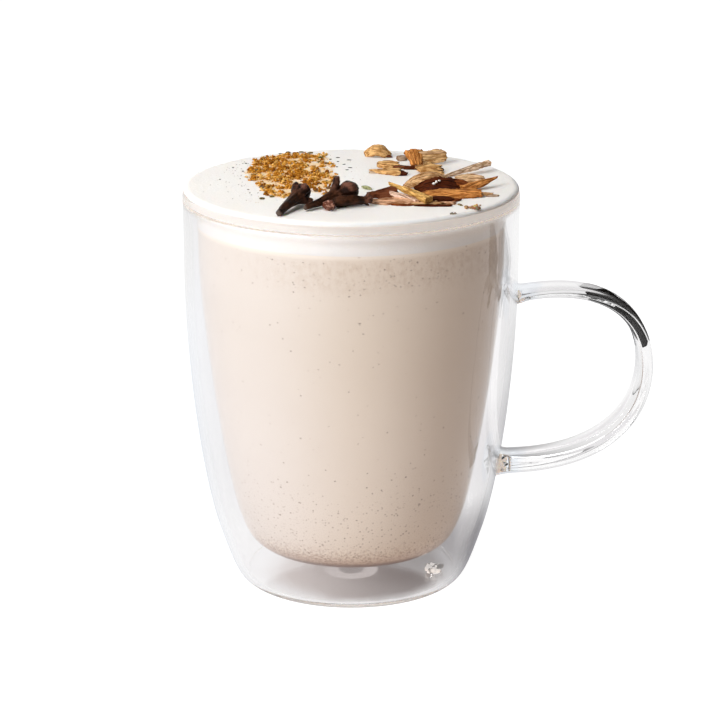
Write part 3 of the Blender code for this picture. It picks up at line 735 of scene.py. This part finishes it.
stripParts = (  # mm and degrees; the last four only where a strip differs from stripPlain
    "tint", "x", "y", "length", "width", "thick", "heading", "roll", "curl", "taper", "ragged", "splinters",
    "ends", "pitch", "rise", "lift",
)
stripPlain = {"ends": "both", "pitch": 0, "rise": 0, "lift": 0}
barkChips = {  # one or more strips for each chip, in the order of stripParts
    "bark_back_curl": (
        ("golden", 8.6, 31.8, 7.2, 4.0, 0.8, -7, 42, 0.7, 0.7, 0.3, 1, "both", 0, 2.0),
        ("red", 10.8, 30.6, 3.2, 1.4, 0.4, -14, 24, 0.3, 0.7, 0.3, 1, "both", -16, 0.3),
    ),
    "bark_block": (
        ("orange", 18.1, 20.0, 4.4, 5.2, 0.9, -72, 0, 0.5, 0.4, 0.6, 8, "end", -50),
        ("olive", 22.4, 21.6, 8.4, 3.5, 0.9, 10, 62, 0.7, 0.15, 0.6, 3, "both", 0, 0, 0.1),
        ("light", 21.2, 21.4, 10.0, 0.8, 0.5, 8, 30, 0.25, 0.4, 0.4, 0, "both", 0, 0, 2.9),
    ),
    "bark_crumb_back": (("grey", 14.8, 25.8, 2.6, 2.2, 1.2, 20, 20, 0.25, 0.4, 0.3, 2),),
    "bark_flat_back": (
        ("golden", 10.4, 16.8, 5.0, 4.6, 0.7, -4, 15, 0.5, 0.6, 1.0, 4),
        ("red", 13.9, 15.6, 8.8, 2.3, 0.7, -16, 18, 0.25, 0.6, 0.5, 3, "end", -3),
        ("dark", 17.2, 14.6, 5.0, 1.7, 0.6, -12, 12, 0.25, 0.7, 0.3, 3, "end"),
    ),
    "bark_leaf": (
        ("golden", 9.4, 8.8, 7.8, 5.0, 0.5, -8, 13, 0.5, 0.95, 0.7, 3, "start"),
        ("dark", 13.0, 7.8, 4.2, 2.6, 0.6, -12, 14, 0.25, 0.6, 0.3, 3),
        ("grey", 6.3, 9.3, 2.6, 1.2, 0.5, -4, 10, 0.25, 0.8, 0.3, 0),
    ),
    "bark_chip": (
        ("golden", 21.0, 11.2, 6.0, 5.2, 0.7, 6, 17, 0.5, 0.6, 1.1, 4),
        ("dark", 23.2, 11.0, 3.4, 2.8, 0.6, 20, 26, 0.25, 0.5, 0.6, 3),
        ("golden", 22.3, 8.8, 4.6, 2.6, 0.5, -6, 12, 0.25, 0.7, 0.9, 3),
    ),
    "bark_long_splinter": (("straw", 31.0, 8.8, 15.4, 2.0, 1.0, 33, 20, 0.3, 0.75, 0.5, 5, "start", 7),),
    "bark_dark_curl": (
        ("tan", 19.6, -8.0, 13.4, 4.2, 0.9, 12, 36, 0.6, 0.7, 0.6, 7, "both", 0, 3.0),
        # the dark strip is the inner bark, partly its own colour and partly painted shade for the arch's
        # hollow
        ("dark", 22.3, -11.4, 12.4, 4.6, 0.5, 8, 30, -0.3, 0.6, 0.8, 9, "both", 0, 1.9, 0.1),
        ("rust", 27.4, -10.0, 6.6, 3.0, 0.5, -2, 20, 0.25, 0.5, 0.7, 7, "both", -12, 0.6, 0.3),
    ),
    # inner bark under the arch, partly its own colour and partly painted shade for the arch's hollow
    "bark_dark_core": (("dark", 21.6, -12.0, 9.6, 3.8, 1.0, 10, 24, 0.3, 0.5, 0.5, 3, "both", 0, 0.8),),
    "bark_flat_right": (("light", 30.8, -0.8, 7.4, 5.6, 0.6, 10, 14, 0.5, 0.6, 0.5, 4),),
    "bark_tapered": (("orange", 33.0, -9.0, 11.8, 3.8, 0.7, 36, 20, 0.25, 0.95, 0.4, 5, "end", 7),),
    "bark_long_flat": (
        ("orange", 25.0, -18.2, 14.6, 4.4, 0.7, 6, 22, 0.25, 0.4, 0.6, 7),
        ("tan", 30.6, -17.0, 9.6, 2.6, 0.6, 0, 18, 0.25, 0.9, 0.4, 3, "end"),
        ("grey", 35.2, -17.0, 3.4, 1.2, 0.5, 2, 10, 0.25, 0.7, 0.3, 0),
    ),
    "bark_red": (
        ("dark", 21.2, -22.9, 6.6, 3.0, 0.7, 4, 16, 0.4, 0.9, 1.2, 7),
        ("rust", 24.8, -22.4, 4.0, 1.6, 0.5, 14, 16, 0.25, 0.9, 1.0, 3),
        ("pink", 22.4, -26.0, 5.2, 1.5, 0.6, 4, 14, 0.25, 0.6, 0.8, 3),
    ),
    "bark_pale_stick": (
        ("yellow", 13.6, -21.8, 15.2, 3.0, 1.3, -51, 10, 0.25, 0.97, 0.6, 3, "start", -6, 0, 1.0),
        ("pale", 12.2, -23.4, 9.4, 2.2, 0.8, -48, 24, 0.25, 0.6, 0.7, 4, "both", -5, 0, 0.5),
    ),
    "bark_brown": (("red", 7.0, -20.0, 8.0, 4.6, 0.9, 14, 32, 0.5, 0.8, 0.5, 4, "start"),),
    "bark_front_sliver": (
        ("pink", 10.0, -25.4, 12.2, 2.8, 0.7, -12, 22, 0.3, 0.5, 0.8, 7),
        ("tan", 17.4, -26.8, 9.0, 2.0, 0.7, -3, 18, 0.25, 0.7, 0.7, 4),
        ("dark", 19.4, -27.8, 8.6, 1.3, 0.4, -1, 12, 0.25, 0.8, 0.7, 3),
        ("rust", 11.8, -26.9, 6.4, 1.2, 0.4, -9, 12, 0.25, 0.8, 0.8, 3),
    ),
}


def barkFinish():
    bark = Finish("cinnamonBark", Roughness=0.72, Specular_IOR_Level=0.12)
    grain, tint = bark.stored("grain", "Vector"), bark.stored("tint", "Color")
    streaks = bark.cloud(bark.stretched(grain, (0.25, 1.9, 1.9)), 1.0, 4.0, 0.62)
    fibres = bark.cloud(bark.stretched(grain, (0.5, 4.2, 4.2)), 1.0, 4.0, 0.62)
    blotch = bark.cloud(grain, 0.55, 3.0)
    shade = bark.spread(streaks * 0.5 + fibres * 0.3 + blotch * 0.2, 0.42, 0.58)
    color = bark.mix(shade, bark.times(tint, (0.5, 0.36, 0.24)), bark.times(tint, (1.32, 1.38, 1.5)))
    edge = bark.spread(bark.stored("edge") + fibres * 0.5, 1.05, 1.35)
    bark.into("Base Color", bark.mix(edge * 0.5, color, bark.times(tint, (0.45, 0.3, 0.2))))
    bark.into("Roughness", bark.spread(streaks, 0.35, 0.65, 0.55, 0.85))
    bark.relief(fibres * 0.6 + streaks * 0.4, 0.0004, 0.7)
    return bark


def splinters(form, rng):  # fine fibres lying on a strip, in its own frame, each with a shade
    length, width, curl = form["length"], form["width"], form["curl"]
    made = []
    for _ in range(form["splinters"]):
        reach = length * rng.uniform(0.35, 0.8)
        start = rng.uniform(-0.5, 0.5) * (length - reach) - reach / 2
        aside, lean = rng.uniform(-0.36, 0.36), rng.uniform(-0.1, 0.1)
        girth = rng.uniform(0.06, 0.17)
        rings = []
        for step in range(13):
            share = step / 12
            x = start + reach * share
            along = x / length + 0.5
            y = aside * width * narrowed(form, along) + lean * (share - 0.5) * reach
            arch = form["rise"] * (1 - (2 * along - 1) ** 2)
            z = arch - curl * (2 * aside) ** 2 + form["thick"] * 0.46
            size = girth * math.sin(math.pi * (0.06 + 0.88 * share)) ** 0.6
            rings.append([(x, y + math.cos(a) * size * 1.2, z + math.sin(a) * size * 0.8) for a in around(6)])
        made.append((loft(rings), rng.uniform(0.45, 1.4)))
    return made


def narrowed(form, share):  # the strip's width along its length, as a share
    outward = abs(2 * share - 1) ** 2.5
    if form["ends"] != "both":
        outward = max(share if form["ends"] == "end" else 1 - share, 0.0) ** 1.3
    return 1 - form["taper"] * outward


def stripShape(form, rng):
    length, width, thick = form["length"], form["width"], form["thick"]
    rise, curl, ragged = form["rise"], form["curl"], form["ragged"]
    stations, across = max(int(length * 3.2), 14), max(int(width * 3.4), 8)
    seed = rng.uniform(0, 90)
    turn = Matrix.Rotation(math.radians(form["heading"]), 3, "Z")
    turn = turn @ Matrix.Rotation(math.radians(-form["pitch"]), 3, "Y")
    turn = turn @ Matrix.Rotation(math.radians(form["roll"]), 3, "X")
    middle = onFoam(form["x"], form["y"])
    rings, grain, edge = [], [], []
    for station in range(stations):
        share = station / (stations - 1)
        run, half = share * length, 20.0 * (share > 0.5)
        plain = narrowed(form, share)
        narrow = plain * (1 + 0.22 * wander(run * 0.45, seed, 0.0))
        narrow *= 1 + ragged * 0.3 * wander(run * 1.5, seed, 5.0)
        sway = 0.1 * width * wander(run * 0.2, seed, 9.0)
        height = rise * (1 - (2 * share - 1) ** 2)
        nearEnd = max(abs(2 * share - 1) - 0.55, 0.0) / 0.45
        ring = []
        for face in (1, -1):
            for step in range(across):
                cross = (2 * step / (across - 1) - 1) * face
                torn = wander(cross * width * 0.9, seed, half)
                torn += 0.6 * wander(cross * width * 2.6, seed, half * 1.5)
                fibre = wander(run * 0.18, cross * width * 1.5 + seed, face * 4.0)
                fibre += 0.5 * wander(run * 0.4, cross * width * 4.0 + seed, face * 9.0)
                body = thick / 2 * (1 - 0.45 * abs(cross) ** 4) * (0.65 + 0.35 * plain)
                x = (share - 0.5) * length + torn * ragged * nearEnd * 1.6
                y = cross * width / 2 * narrow + sway
                relief = fibre * 0.13 * (1 - 0.6 * abs(cross) ** 6)
                z = height + face * body + relief - curl * cross * cross
                ring.append(tuple(middle + turn @ Vector((x, y, z))))
                grain.append((x + seed, y, z))
                edge.append(max(abs(cross) ** 3, abs(2 * share - 1) ** 8))
        rings.append(ring)
    points, faces = loft(rings)
    shades = [1.0] * len(points)
    for (corners, sides), shade in splinters(form, rng):
        faces += renumbered(sides, len(points))
        points += [tuple(middle + turn @ Vector(corner)) for corner in corners]
        grain += [(x + seed * 2, y, z) for x, y, z in corners]
        edge += [0.0] * len(corners)
        shades += [shade] * len(corners)
    tints = [tuple(part * shade for part in barkTints[form["tint"]]) for shade in shades]
    return points, faces, grain, edge, tints


def buildBark():
    bark = barkFinish()
    for node, strips in barkChips.items():
        rng = random.Random(node)
        shells, stored = [], {"grain": [], "edge": [], "tint": []}
        for strip in strips:
            form = {**stripPlain, **dict(zip(stripParts, strip))}
            points, faces, *values = stripShape(form, rng)
            shells.append((settled(points, 0.2 - form["lift"]), faces))
            for key, added in zip(stored, values):
                stored[key] += added
        name = node.replace("bark", "chip")
        piece(name, *gathered(shells), bark, node, "cinnamon_bark", stored, 35)
    print("bark chips:", len(barkChips))


spice = {  # places and sizes in mm
    "patches": (  # x, y, reach across, reach in depth, share covered
        (-17.2, 23.5, 7.0, 9.0, 1.0), (-16.0, 13.0, 9.6, 7.0, 1.05), (-19.4, 7.0, 6.4, 6.5, 1.0),
        (-8.6, 5.6, 4.2, 7.5, 0.95), (-18.4, -8.4, 4.2, 7.0, 0.85), (-21.4, -2.0, 3.0, 5.0, 0.55),
        (-8.6, -8.0, 3.4, 5.0, 0.35), (-7.0, 17.5, 3.0, 9.0, 0.45), (-13.8, 31.0, 8.0, 6.0, 0.7),
        (-21.6, 17.0, 4.0, 6.0, 0.8), (-12.0, -1.0, 5.5, 6.0, 0.6),
    ),
    "clumps": 480,
    "dust": 1900,
    "colors": (
        (0.66, 0.30, 0.035), (0.76, 0.40, 0.07), (0.54, 0.22, 0.02), (0.36, 0.13, 0.01), (0.86, 0.54, 0.16),
    ),
    "flakeColor": (0.20, 0.155, 0.065),
    "darkBitColor": (0.045, 0.035, 0.03),
    "strayColor": (0.16, 0.11, 0.08),
    "strays": 130,
    "flakes": (  # x, y, length, width, heading
        (-15.7, 38.6, 1.6, 1.0, 5), (-12.1, 38.8, 1.5, 0.8, -8), (-9.6, 37.6, 1.9, 0.9, 4),
        (-7.0, 31.1, 1.8, 1.1, 12), (-5.0, 22.7, 2.1, 1.4, -6), (-7.4, 24.8, 1.7, 1.2, 20),
        (-23.3, -5.6, 1.6, 1.4, 0), (-20.9, -15.9, 1.5, 1.1, 10), (-23.4, -17.8, 1.7, 1.2, -10),
        (-6.1, -7.0, 1.9, 1.3, 8), (-9.5, -10.2, 1.7, 1.2, -4), (-3.8, 5.9, 1.6, 1.5, 14),
        (-24.6, 15.2, 1.8, 1.2, 0), (-25.4, 9.4, 1.6, 1.0, 6), (-8.2, 13.2, 1.5, 1.0, -12),
        (-6.5, 0.5, 1.6, 1.2, 9),
    ),
    "darkBits": (  # x, y, length
        (-2.3, 30.8, 1.2), (0.6, 27.2, 1.4), (-1.0, 21.1, 1.0), (0.4, 16.4, 1.3), (-0.5, 13.9, 1.0),
        (-2.5, 25.3, 0.8), (-27.3, 24.7, 0.8), (-30.8, 19.8, 0.7), (-34.2, 5.1, 0.7), (-28.2, 14.3, 0.8),
        (-26.9, -7.5, 0.7), (-13.9, 38.9, 1.1), (-17.9, 37.9, 1.1), (-3.0, 18.0, 0.7), (-4.4, 28.6, 0.9),
    ),
}


class Heap:  # many small rough grains that end as one mesh
    def __init__(self):
        form = bmesh.new()
        bmesh.ops.create_icosphere(form, subdivisions=1, radius=1.0)
        self.corners = [vert.co.copy() for vert in form.verts]
        self.sides = [tuple(vert.index for vert in face.verts) for face in form.faces]
        form.free()
        self.points, self.faces, self.tints = [], [], []

    def add(self, rng, x, y, radii, tint, heading=None, lift=0.0, roughness=0.25):
        self.faces += renumbered(self.sides, len(self.points))
        turn = Matrix.Rotation(rng.uniform(0, math.tau) if heading is None else heading, 3, "Z")
        turn = turn @ Matrix.Rotation(rng.uniform(-0.4, 0.4), 3, "X")
        centre = onFoam(x, y, lift)
        for corner in self.corners:
            off = Vector([c * r * (1 + rng.uniform(-roughness, roughness)) for c, r in zip(corner, radii)])
            self.points.append(tuple(centre + turn @ off))
        self.tints += [tint] * len(self.corners)

    def show(self, name, finish):
        piece(name, self.points, self.faces, finish, stored={"tint": self.tints}, crease=25)


def cover(x, y):  # how far a place lies within the patches of ground spice
    most = 0.0
    for px, py, wide, deep, share in spice["patches"]:
        out = math.hypot((x - px) / wide, (y - py) / deep)
        most = max(most, share * min(max(1.35 - out, 0.0) / 0.5, 1.0))
    return most


def crowd(x, y):  # how thickly the spice lies there, with its gaps
    return cover(x, y) * (0.74 + 1.6 * wander(x * 0.42, y * 0.26, 7.0))


def addClump(heap, rng, x, y):
    tint = rng.choice(spice["colors"])
    spread = rng.uniform(0.25, 0.75)
    for count in range(int(4 + spread * 14)):
        dx, dy = rng.gauss(0, spread * 0.65), rng.gauss(0, spread * 0.85)
        size = rng.uniform(0.12, 0.32)
        if count < 2:
            size = rng.uniform(0.28, 0.3 + spread * 0.36)
        shade = rng.uniform(0.7, 1.25)
        lift = size * 0.3 + max(spread - math.hypot(dx, dy), 0.0) * rng.uniform(0.0, 1.3)
        radii = (size, size * rng.uniform(0.6, 1.0), size * rng.uniform(0.6, 0.95))
        heap.add(rng, x + dx, y + dy, radii, tuple(c * shade for c in tint), lift=lift)


def addDust(heap, rng, x, y):
    size, shade = rng.uniform(0.05, 0.14), rng.uniform(0.5, 1.1)
    tint = tuple(c * shade for c in rng.choice(spice["colors"]))
    heap.add(rng, x, y, (size, size * 0.8, size * 0.6), tint, lift=size * 0.2)


def buildSpice():
    rng = random.Random(23)
    heap = Heap()
    placed = 0
    while placed < spice["clumps"]:
        x, y = rng.uniform(-28, -2), rng.uniform(-20, 38)
        if math.hypot(x, y) > 39.5 or rng.random() > crowd(x, y):
            continue
        placed += 1
        addClump(heap, rng, x, y)
    placed = 0
    while placed < spice["dust"]:
        x, y = rng.gauss(-16, 9), rng.gauss(9, 17)
        if math.hypot(x, y) > 40.5 or rng.random() > crowd(x, y) * 1.2 + 0.035:
            continue
        placed += 1
        addDust(heap, rng, x, y)
    for x, y, long, wide, heading in spice["flakes"]:
        color = tuple(c * rng.uniform(0.75, 1.2) for c in spice["flakeColor"])
        heap.add(rng, x, y, (long / 2, wide / 2, 0.3), color, math.radians(heading), 0.18, 0.14)
    for x, y, long in spice["darkBits"]:
        heading = math.radians(rng.uniform(-20, 20))
        heap.add(rng, x, y, (long / 2, 0.22, 0.14), spice["darkBitColor"], heading, 0.06, 0.2)
    for _ in range(spice["strays"]):
        x, y = rng.gauss(-24, 7), rng.gauss(8, 15)
        if math.hypot(x, y) < 40.5:
            size = rng.uniform(0.05, 0.17)
            heap.add(rng, x, y, (size * 1.4, size, size * 0.6), spice["strayColor"], lift=size * 0.1)
    ground = Finish("groundSpice", Roughness=0.8, Specular_IOR_Level=0.15)
    tint = ground.stored("tint", "Color")
    fine = ground.cloud(ground.place(), 2600.0, 3.0)
    hollow = ground.times(tint, (0.62, 0.5, 0.38))
    ground.into("Base Color", ground.mix(ground.spread(fine, 0.35, 0.65), hollow, tint))
    ground.relief(fine, 0.0001, 0.5)
    heap.show("groundSpice", ground)
    buildCrumbs(ground)
    print("ground spice:", len(heap.faces), "faces")


crumbSpots = (  # x, y and size in mm, and a colour
    (28.0, -29.6, 1.0, (0.46, 0.33, 0.16)),
    (29.6, -30.4, 1.2, (0.36, 0.26, 0.13)),
    (26.6, -26.8, 0.6, (0.34, 0.25, 0.13)),
    (29.8, -28.2, 1.0, (0.66, 0.50, 0.28)),
    (23.3, -35.2, 0.6, (0.24, 0.21, 0.17)),
    (24.2, -35.0, 0.45, (0.4, 0.36, 0.3)),
)


def buildCrumbs(ground):
    crumbs = Heap()
    rng = random.Random(5)
    for x, y, size, color in crumbSpots:
        for _ in range(7):
            dx, dy, grain = rng.gauss(0, size * 0.5), rng.gauss(0, size * 0.5), size * rng.uniform(0.3, 0.6)
            shade = tuple(c * rng.uniform(0.7, 1.3) for c in color)
            crumbs.add(rng, x + dx, y + dy, (grain, grain * 0.8, grain * 0.7), shade, lift=grain * 0.5)
    crumbs.show("crumbs", ground)


seedForm = {
    "ends": ((2.4, -7.0, 0.3), (4.7, -10.2, 0.3)),
    "girth": 0.68,
    "tones": ((0.12, 0.13, 0.045), (0.36, 0.36, 0.17)),
}


def buildSeed():
    start, end = (onFoam(*spot) for spot in seedForm["ends"])
    path = [start.lerp(end, step / 14) for step in range(15)]
    girth = [seedForm["girth"] * math.sin(math.pi * (0.06 + 0.88 * step / 14)) ** 0.8 for step in range(15)]
    points, faces = strand(path, girth, [g * 0.75 for g in girth], Vector((1.0, 0.7, 0.0)), 20)
    husk = Finish("cardamomSeed", Roughness=0.5)
    ribs = husk.cloud(husk.stretched(husk.place(), (1.0, 0.45, 1.0)), 1700.0, 3.0)
    husk.into("Base Color", husk.mix(husk.spread(ribs, 0.35, 0.65), *seedForm["tones"]))
    husk.relief(ribs, 0.0002, 0.5)
    piece("seed", settled(points, 0.15), faces, husk, crease=60)
    print("seed")


# the dark tone is painted shade for the plug's folds
plugForm = {"turn": 40, "lobes": 26, "tones": ((0.2, 0.19, 0.185), (0.95, 0.94, 0.92))}


def buildPlug():
    rng = random.Random(8)
    (x, y, _), floor = mugForm["vent"], mugForm["floor"]
    turn = math.radians(plugForm["turn"])
    parts = [ball((x, y, floor + 0.8), (2.5, 1.8, 0.8), turn)]
    for angle in around(plugForm["lobes"]):  # crumpled folds round the plug's head
        angle += rng.uniform(-0.3, 0.3)
        out = rng.uniform(0.4, 1.0)
        ahead, aside = math.cos(angle) * 2.9 * out, math.sin(angle) * 1.8 * out
        centre = (
            x + ahead * math.cos(turn) - aside * math.sin(turn),
            y + ahead * math.sin(turn) + aside * math.cos(turn),
            floor + rng.uniform(0.5, 2.5 - out),
        )
        size = rng.uniform(0.45, 0.95)
        parts.append(ball(centre, (size, size * 0.7, size * rng.uniform(0.6, 0.9)), rng.uniform(0, 3)))
    parts.append(ball((x, y, 1.1), (1.85, 1.85, 1.0)))
    mesh = fused(*gathered(parts), 0.12, 1)
    normals = [vert.normal.copy() for vert in mesh.vertices]
    for vert, normal in zip(mesh.vertices, normals):
        vert.co += normal * 0.3 * mm * noise.noise(vert.co * 900)
    rubber = Finish(
        "clearSilicone", Roughness=0.28, IOR=1.42, Subsurface_Weight=0.3, Subsurface_Scale=0.002,
        Subsurface_Radius=(1.0, 1.0, 1.0), Emission_Strength=0.5,
    )
    here = rubber.place()
    # painted shade: dark noise patches stand in for shade in the folds; painted light: the same tone glows as
    # emission, so the plug looks lit inside the glass
    tone = rubber.mix(rubber.spread(rubber.cloud(here, 520.0), 0.4, 0.56), *plugForm["tones"])
    rubber.into("Base Color", tone)
    rubber.into("Emission Color", tone)
    rubber.relief(rubber.cloud(here, 1500.0, 3.0), 0.0001, 0.3)
    dressed(mesh, "ventPlug", rubber, "vent_plug", 60)
    print("vent plug")


def aim(made, target):
    made.rotation_euler = (Vector(target) - made.location).to_track_quat("-Z", "Y").to_euler()


view = {  # metres and degrees
    "distance": 0.678,
    "pitch": 17.07,
    "turn": -92.5,
    "target": (0.0, 0.0, 0.0542),
    "lens": 127.05,  # mm
    "sensor": 36.0,
    "shift": (0.0121, 0.0249),
    "nearest": 0.01,
}


def buildCamera():
    lens = bpy.data.cameras.new("photoCamera")
    lens.lens, lens.sensor_width, lens.clip_start = view["lens"], view["sensor"], view["nearest"]
    lens.shift_x, lens.shift_y = view["shift"]
    camera = shown("photoCamera", lens)
    pitch, turn = math.radians(view["pitch"]), math.radians(view["turn"])
    back = Vector((math.cos(turn) * math.cos(pitch), math.sin(turn) * math.cos(pitch), math.sin(pitch)))
    camera.location = Vector(view["target"]) + back * view["distance"]
    aim(camera, view["target"])
    bpy.context.scene.camera = camera
    print("camera")


def softLight(name, place, size, watts, color):
    lamp = bpy.data.lights.new(name, "AREA")
    lamp.shape = "SQUARE"
    lamp.size, lamp.energy, lamp.color = size, watts, color
    made = shown(name, lamp)
    made.location = place
    aim(made, studio["lightsAim"])
    made.visible_camera = made.visible_glossy = False


studio = {
    "floorSide": 8000.0,  # mm
    "floorTones": ((0.23, 0.23, 0.23), (0.27, 0.27, 0.27)),
    "seenGlow": 0.97,  # what keeps the floor white around the mug
    "glassGlow": 0.7,  # and the same floor where it is seen in the glass
    "leftGlow": 0.62,
    "farGlow": 0.79,
    "brightReach": (1000.0, 3000.0),  # mm from the mug where the floor seen in the glass fades
    "faded": (0.02, 0.02, 0.02),
    "warmFill": (0.44, 0.255, 0.125),
    "mirrorFade": (-260.0, 160.0),  # mm, left to right, for the floor mirrored in the glass
    "mirrorTones": ((0.95, 1.03, 1.15), (0.12, 0.12, 0.13)),
    "under": ((0.52, 0.47, 0.45), (0.1, 0.085, 0.083)),  # painted shadow under the mug, on its left and right
    "underMiddle": (3.0, -1.0, 0.0),  # mm
    "underReach": (19.5, 27.5),
    "ringMiddle": (0.0, -2.4, 0.0),
    # painted light and shade under the base: a pale ring round a dark middle
    "rings": ((7.8, 6.6, (0.54, 0.50, 0.485)), (3.9, 3.0, (0.26, 0.235, 0.23))),
    "paintedShadows": (  # painted shadows of the mug, seen in the glass: where, from and to in mm, and its tone
        ((78.0, 92.0, 0.0), (20.0, 60.0), (0.68, 0.67, 0.68)),
        ((38.0, 14.0, 0.0), (6.0, 42.0), (0.19, 0.18, 0.19)),
    ),
    "lightsAim": (0.0, 0.0, 0.06),
    "lights": (  # name, place and size in metres, watts, colour
        ("keyLeft", (-0.56, -0.56, 0.52), 0.45, 8.0, (1.0, 0.99, 0.97)),
        ("topLight", (-0.3, 0.1, 0.8), 0.6, 3.3, (1.0, 1.0, 1.0)),
    ),
    "airDepth": (0.3, 0.8),
    "airSides": (-0.75, 0.25, 0.92, 0.16),
    "airBehind": 0.86,
    "airFill": 0.045,
    "bounces": 48,  # light runs a long way inside the walls before it leaves them
    "flagBehind": 7.5,
    "flag": (  # mm, across and up
        (62.0, 82.0), (67.0, 87.0), (78.0, 91.0), (88.0, 88.0), (90.0, 76.0), (88.0, 66.0), (84.5, 61.5),
        (79.5, 60.5), (76.2, 61.3), (74.0, 64.0), (73.6, 67.0), (70.0, 70.2), (67.0, 71.0), (65.4, 74.0),
        (64.0, 78.0),
    ),
}


def staged(name, points, faces, finish):
    mesh = meshOf(name, points, faces)
    mesh.materials.append(finish.material)
    made = shown(name, mesh)
    return made


def buildFloor():
    floor = Finish("paleFloor", Roughness=0.9, Emission_Strength=1.0)
    here, aside, behind = floor.place(), floor.along("X"), floor.along("Y")
    floor.into("Base Color", floor.mix(floor.cloud(here, 30.0), *studio["floorTones"]))
    nearTone, leftTone, farTone = ((studio[key],) * 3 for key in ("glassGlow", "leftGlow", "farGlow"))
    away = floor.away(here)
    sides = floor.mix(floor.spread(aside, -60.0, 60.0), leftTone, farTone)
    white = floor.mix(floor.spread(away, 30.0, 110.0), nearTone, sides)
    for spot, reach, tone in studio["paintedShadows"]:
        white = floor.mix(floor.spread(floor.away(here, spot), *reach), tone, white)
    # painted shadow, ring of light and dark middle under the mug, seen through the base
    under = floor.mix(floor.spread(aside, -22.0, 20.0), *studio["under"])
    fromRing = floor.away(here, studio["ringMiddle"]) + (floor.cloud(here, 90.0) - 0.5) * 2
    for outer, inner, tone in studio["rings"]:
        under = floor.mix(floor.spread(fromRing, outer, inner), under, tone)
    fromMiddle = floor.away(here, studio["underMiddle"]) + (floor.cloud(here, 60.0) - 0.5) * 9
    close = floor.mix(floor.spread(fromMiddle, *studio["underReach"]), under, white)
    far = floor.mix(floor.spread(away, *studio["brightReach"]), close, studio["faded"])
    mirrored = floor.mix(floor.spread(aside, *studio["mirrorFade"]), *studio["mirrorTones"])
    mirrored = floor.mix(floor.spread(behind, 120.0, 320.0), mirrored, farTone)
    far = floor.mix(floor.ray("Is Reflection Ray"), far, mirrored)
    seen = floor.mix(floor.ray("Is Camera Ray"), far, (studio["seenGlow"],) * 3)
    floor.into("Emission Color", floor.mix(floor.ray("Is Diffuse Ray"), seen, studio["warmFill"]))
    side = studio["floorSide"]
    corners = [(-side, -side, 0), (side, -side, 0), (side, side, 0), (-side, side, 0)]
    staged("floor", corners, [(0, 1, 2, 3)], floor).location.z = -0.1 * mm


def buildFlag():  # a dark card beside the set, which only the glass picks up
    dark = Finish("darkFlag", Roughness=1.0, Specular_IOR_Level=0.0)
    felt = dark.cloud(dark.place(), 20.0)
    dark.into("Base Color", dark.mix(felt, (0.01, 0.01, 0.01), (0.014, 0.014, 0.014)))
    outline = [(x, studio["flagBehind"], z) for x, z in studio["flag"]]
    flag = staged("darkFlag", outline, [tuple(range(len(outline)))], dark)
    flag.visible_camera = flag.visible_diffuse = flag.visible_shadow = False


def buildAir():
    world = bpy.data.worlds.new("studioAir")
    bpy.context.scene.world = world
    world.use_nodes = True
    air = Nodes(world.node_tree, "Background", Color=(1.0, 1.0, 1.0))
    where = air.add("ShaderNodeTexCoord")
    toRight, toBack = (air.add("ShaderNodeSeparateXYZ", None, [where], axis) for axis in "XY")
    behind = air.add("ShaderNodeMapRange", None, [toBack, *studio["airDepth"]])
    sides = air.spread(toRight, *studio["airSides"])
    glow = air.add("ShaderNodeMix", None, {0: behind, 2: sides, 3: studio["airBehind"]})
    calm = air.add("ShaderNodeMix", None, {0: air.ray("Is Diffuse Ray"), 2: glow, 3: studio["airFill"]})
    air.into("Strength", calm)


def buildStudio():
    buildFloor()
    buildFlag()
    buildAir()
    for light in studio["lights"]:
        softLight(*light)
    scene = bpy.context.scene
    scene.view_settings.view_transform = "Standard"
    cycles = scene.cycles
    cycles.max_bounces = cycles.transmission_bounces = cycles.glossy_bounces = studio["bounces"]
    cycles.transparent_max_bounces = 12
    print("studio")


buildCamera()
buildStudio()
buildMug()
buildPlug()
buildChai()
buildFoam()
buildCloves()
buildBark()
buildSpice()
buildSeed()
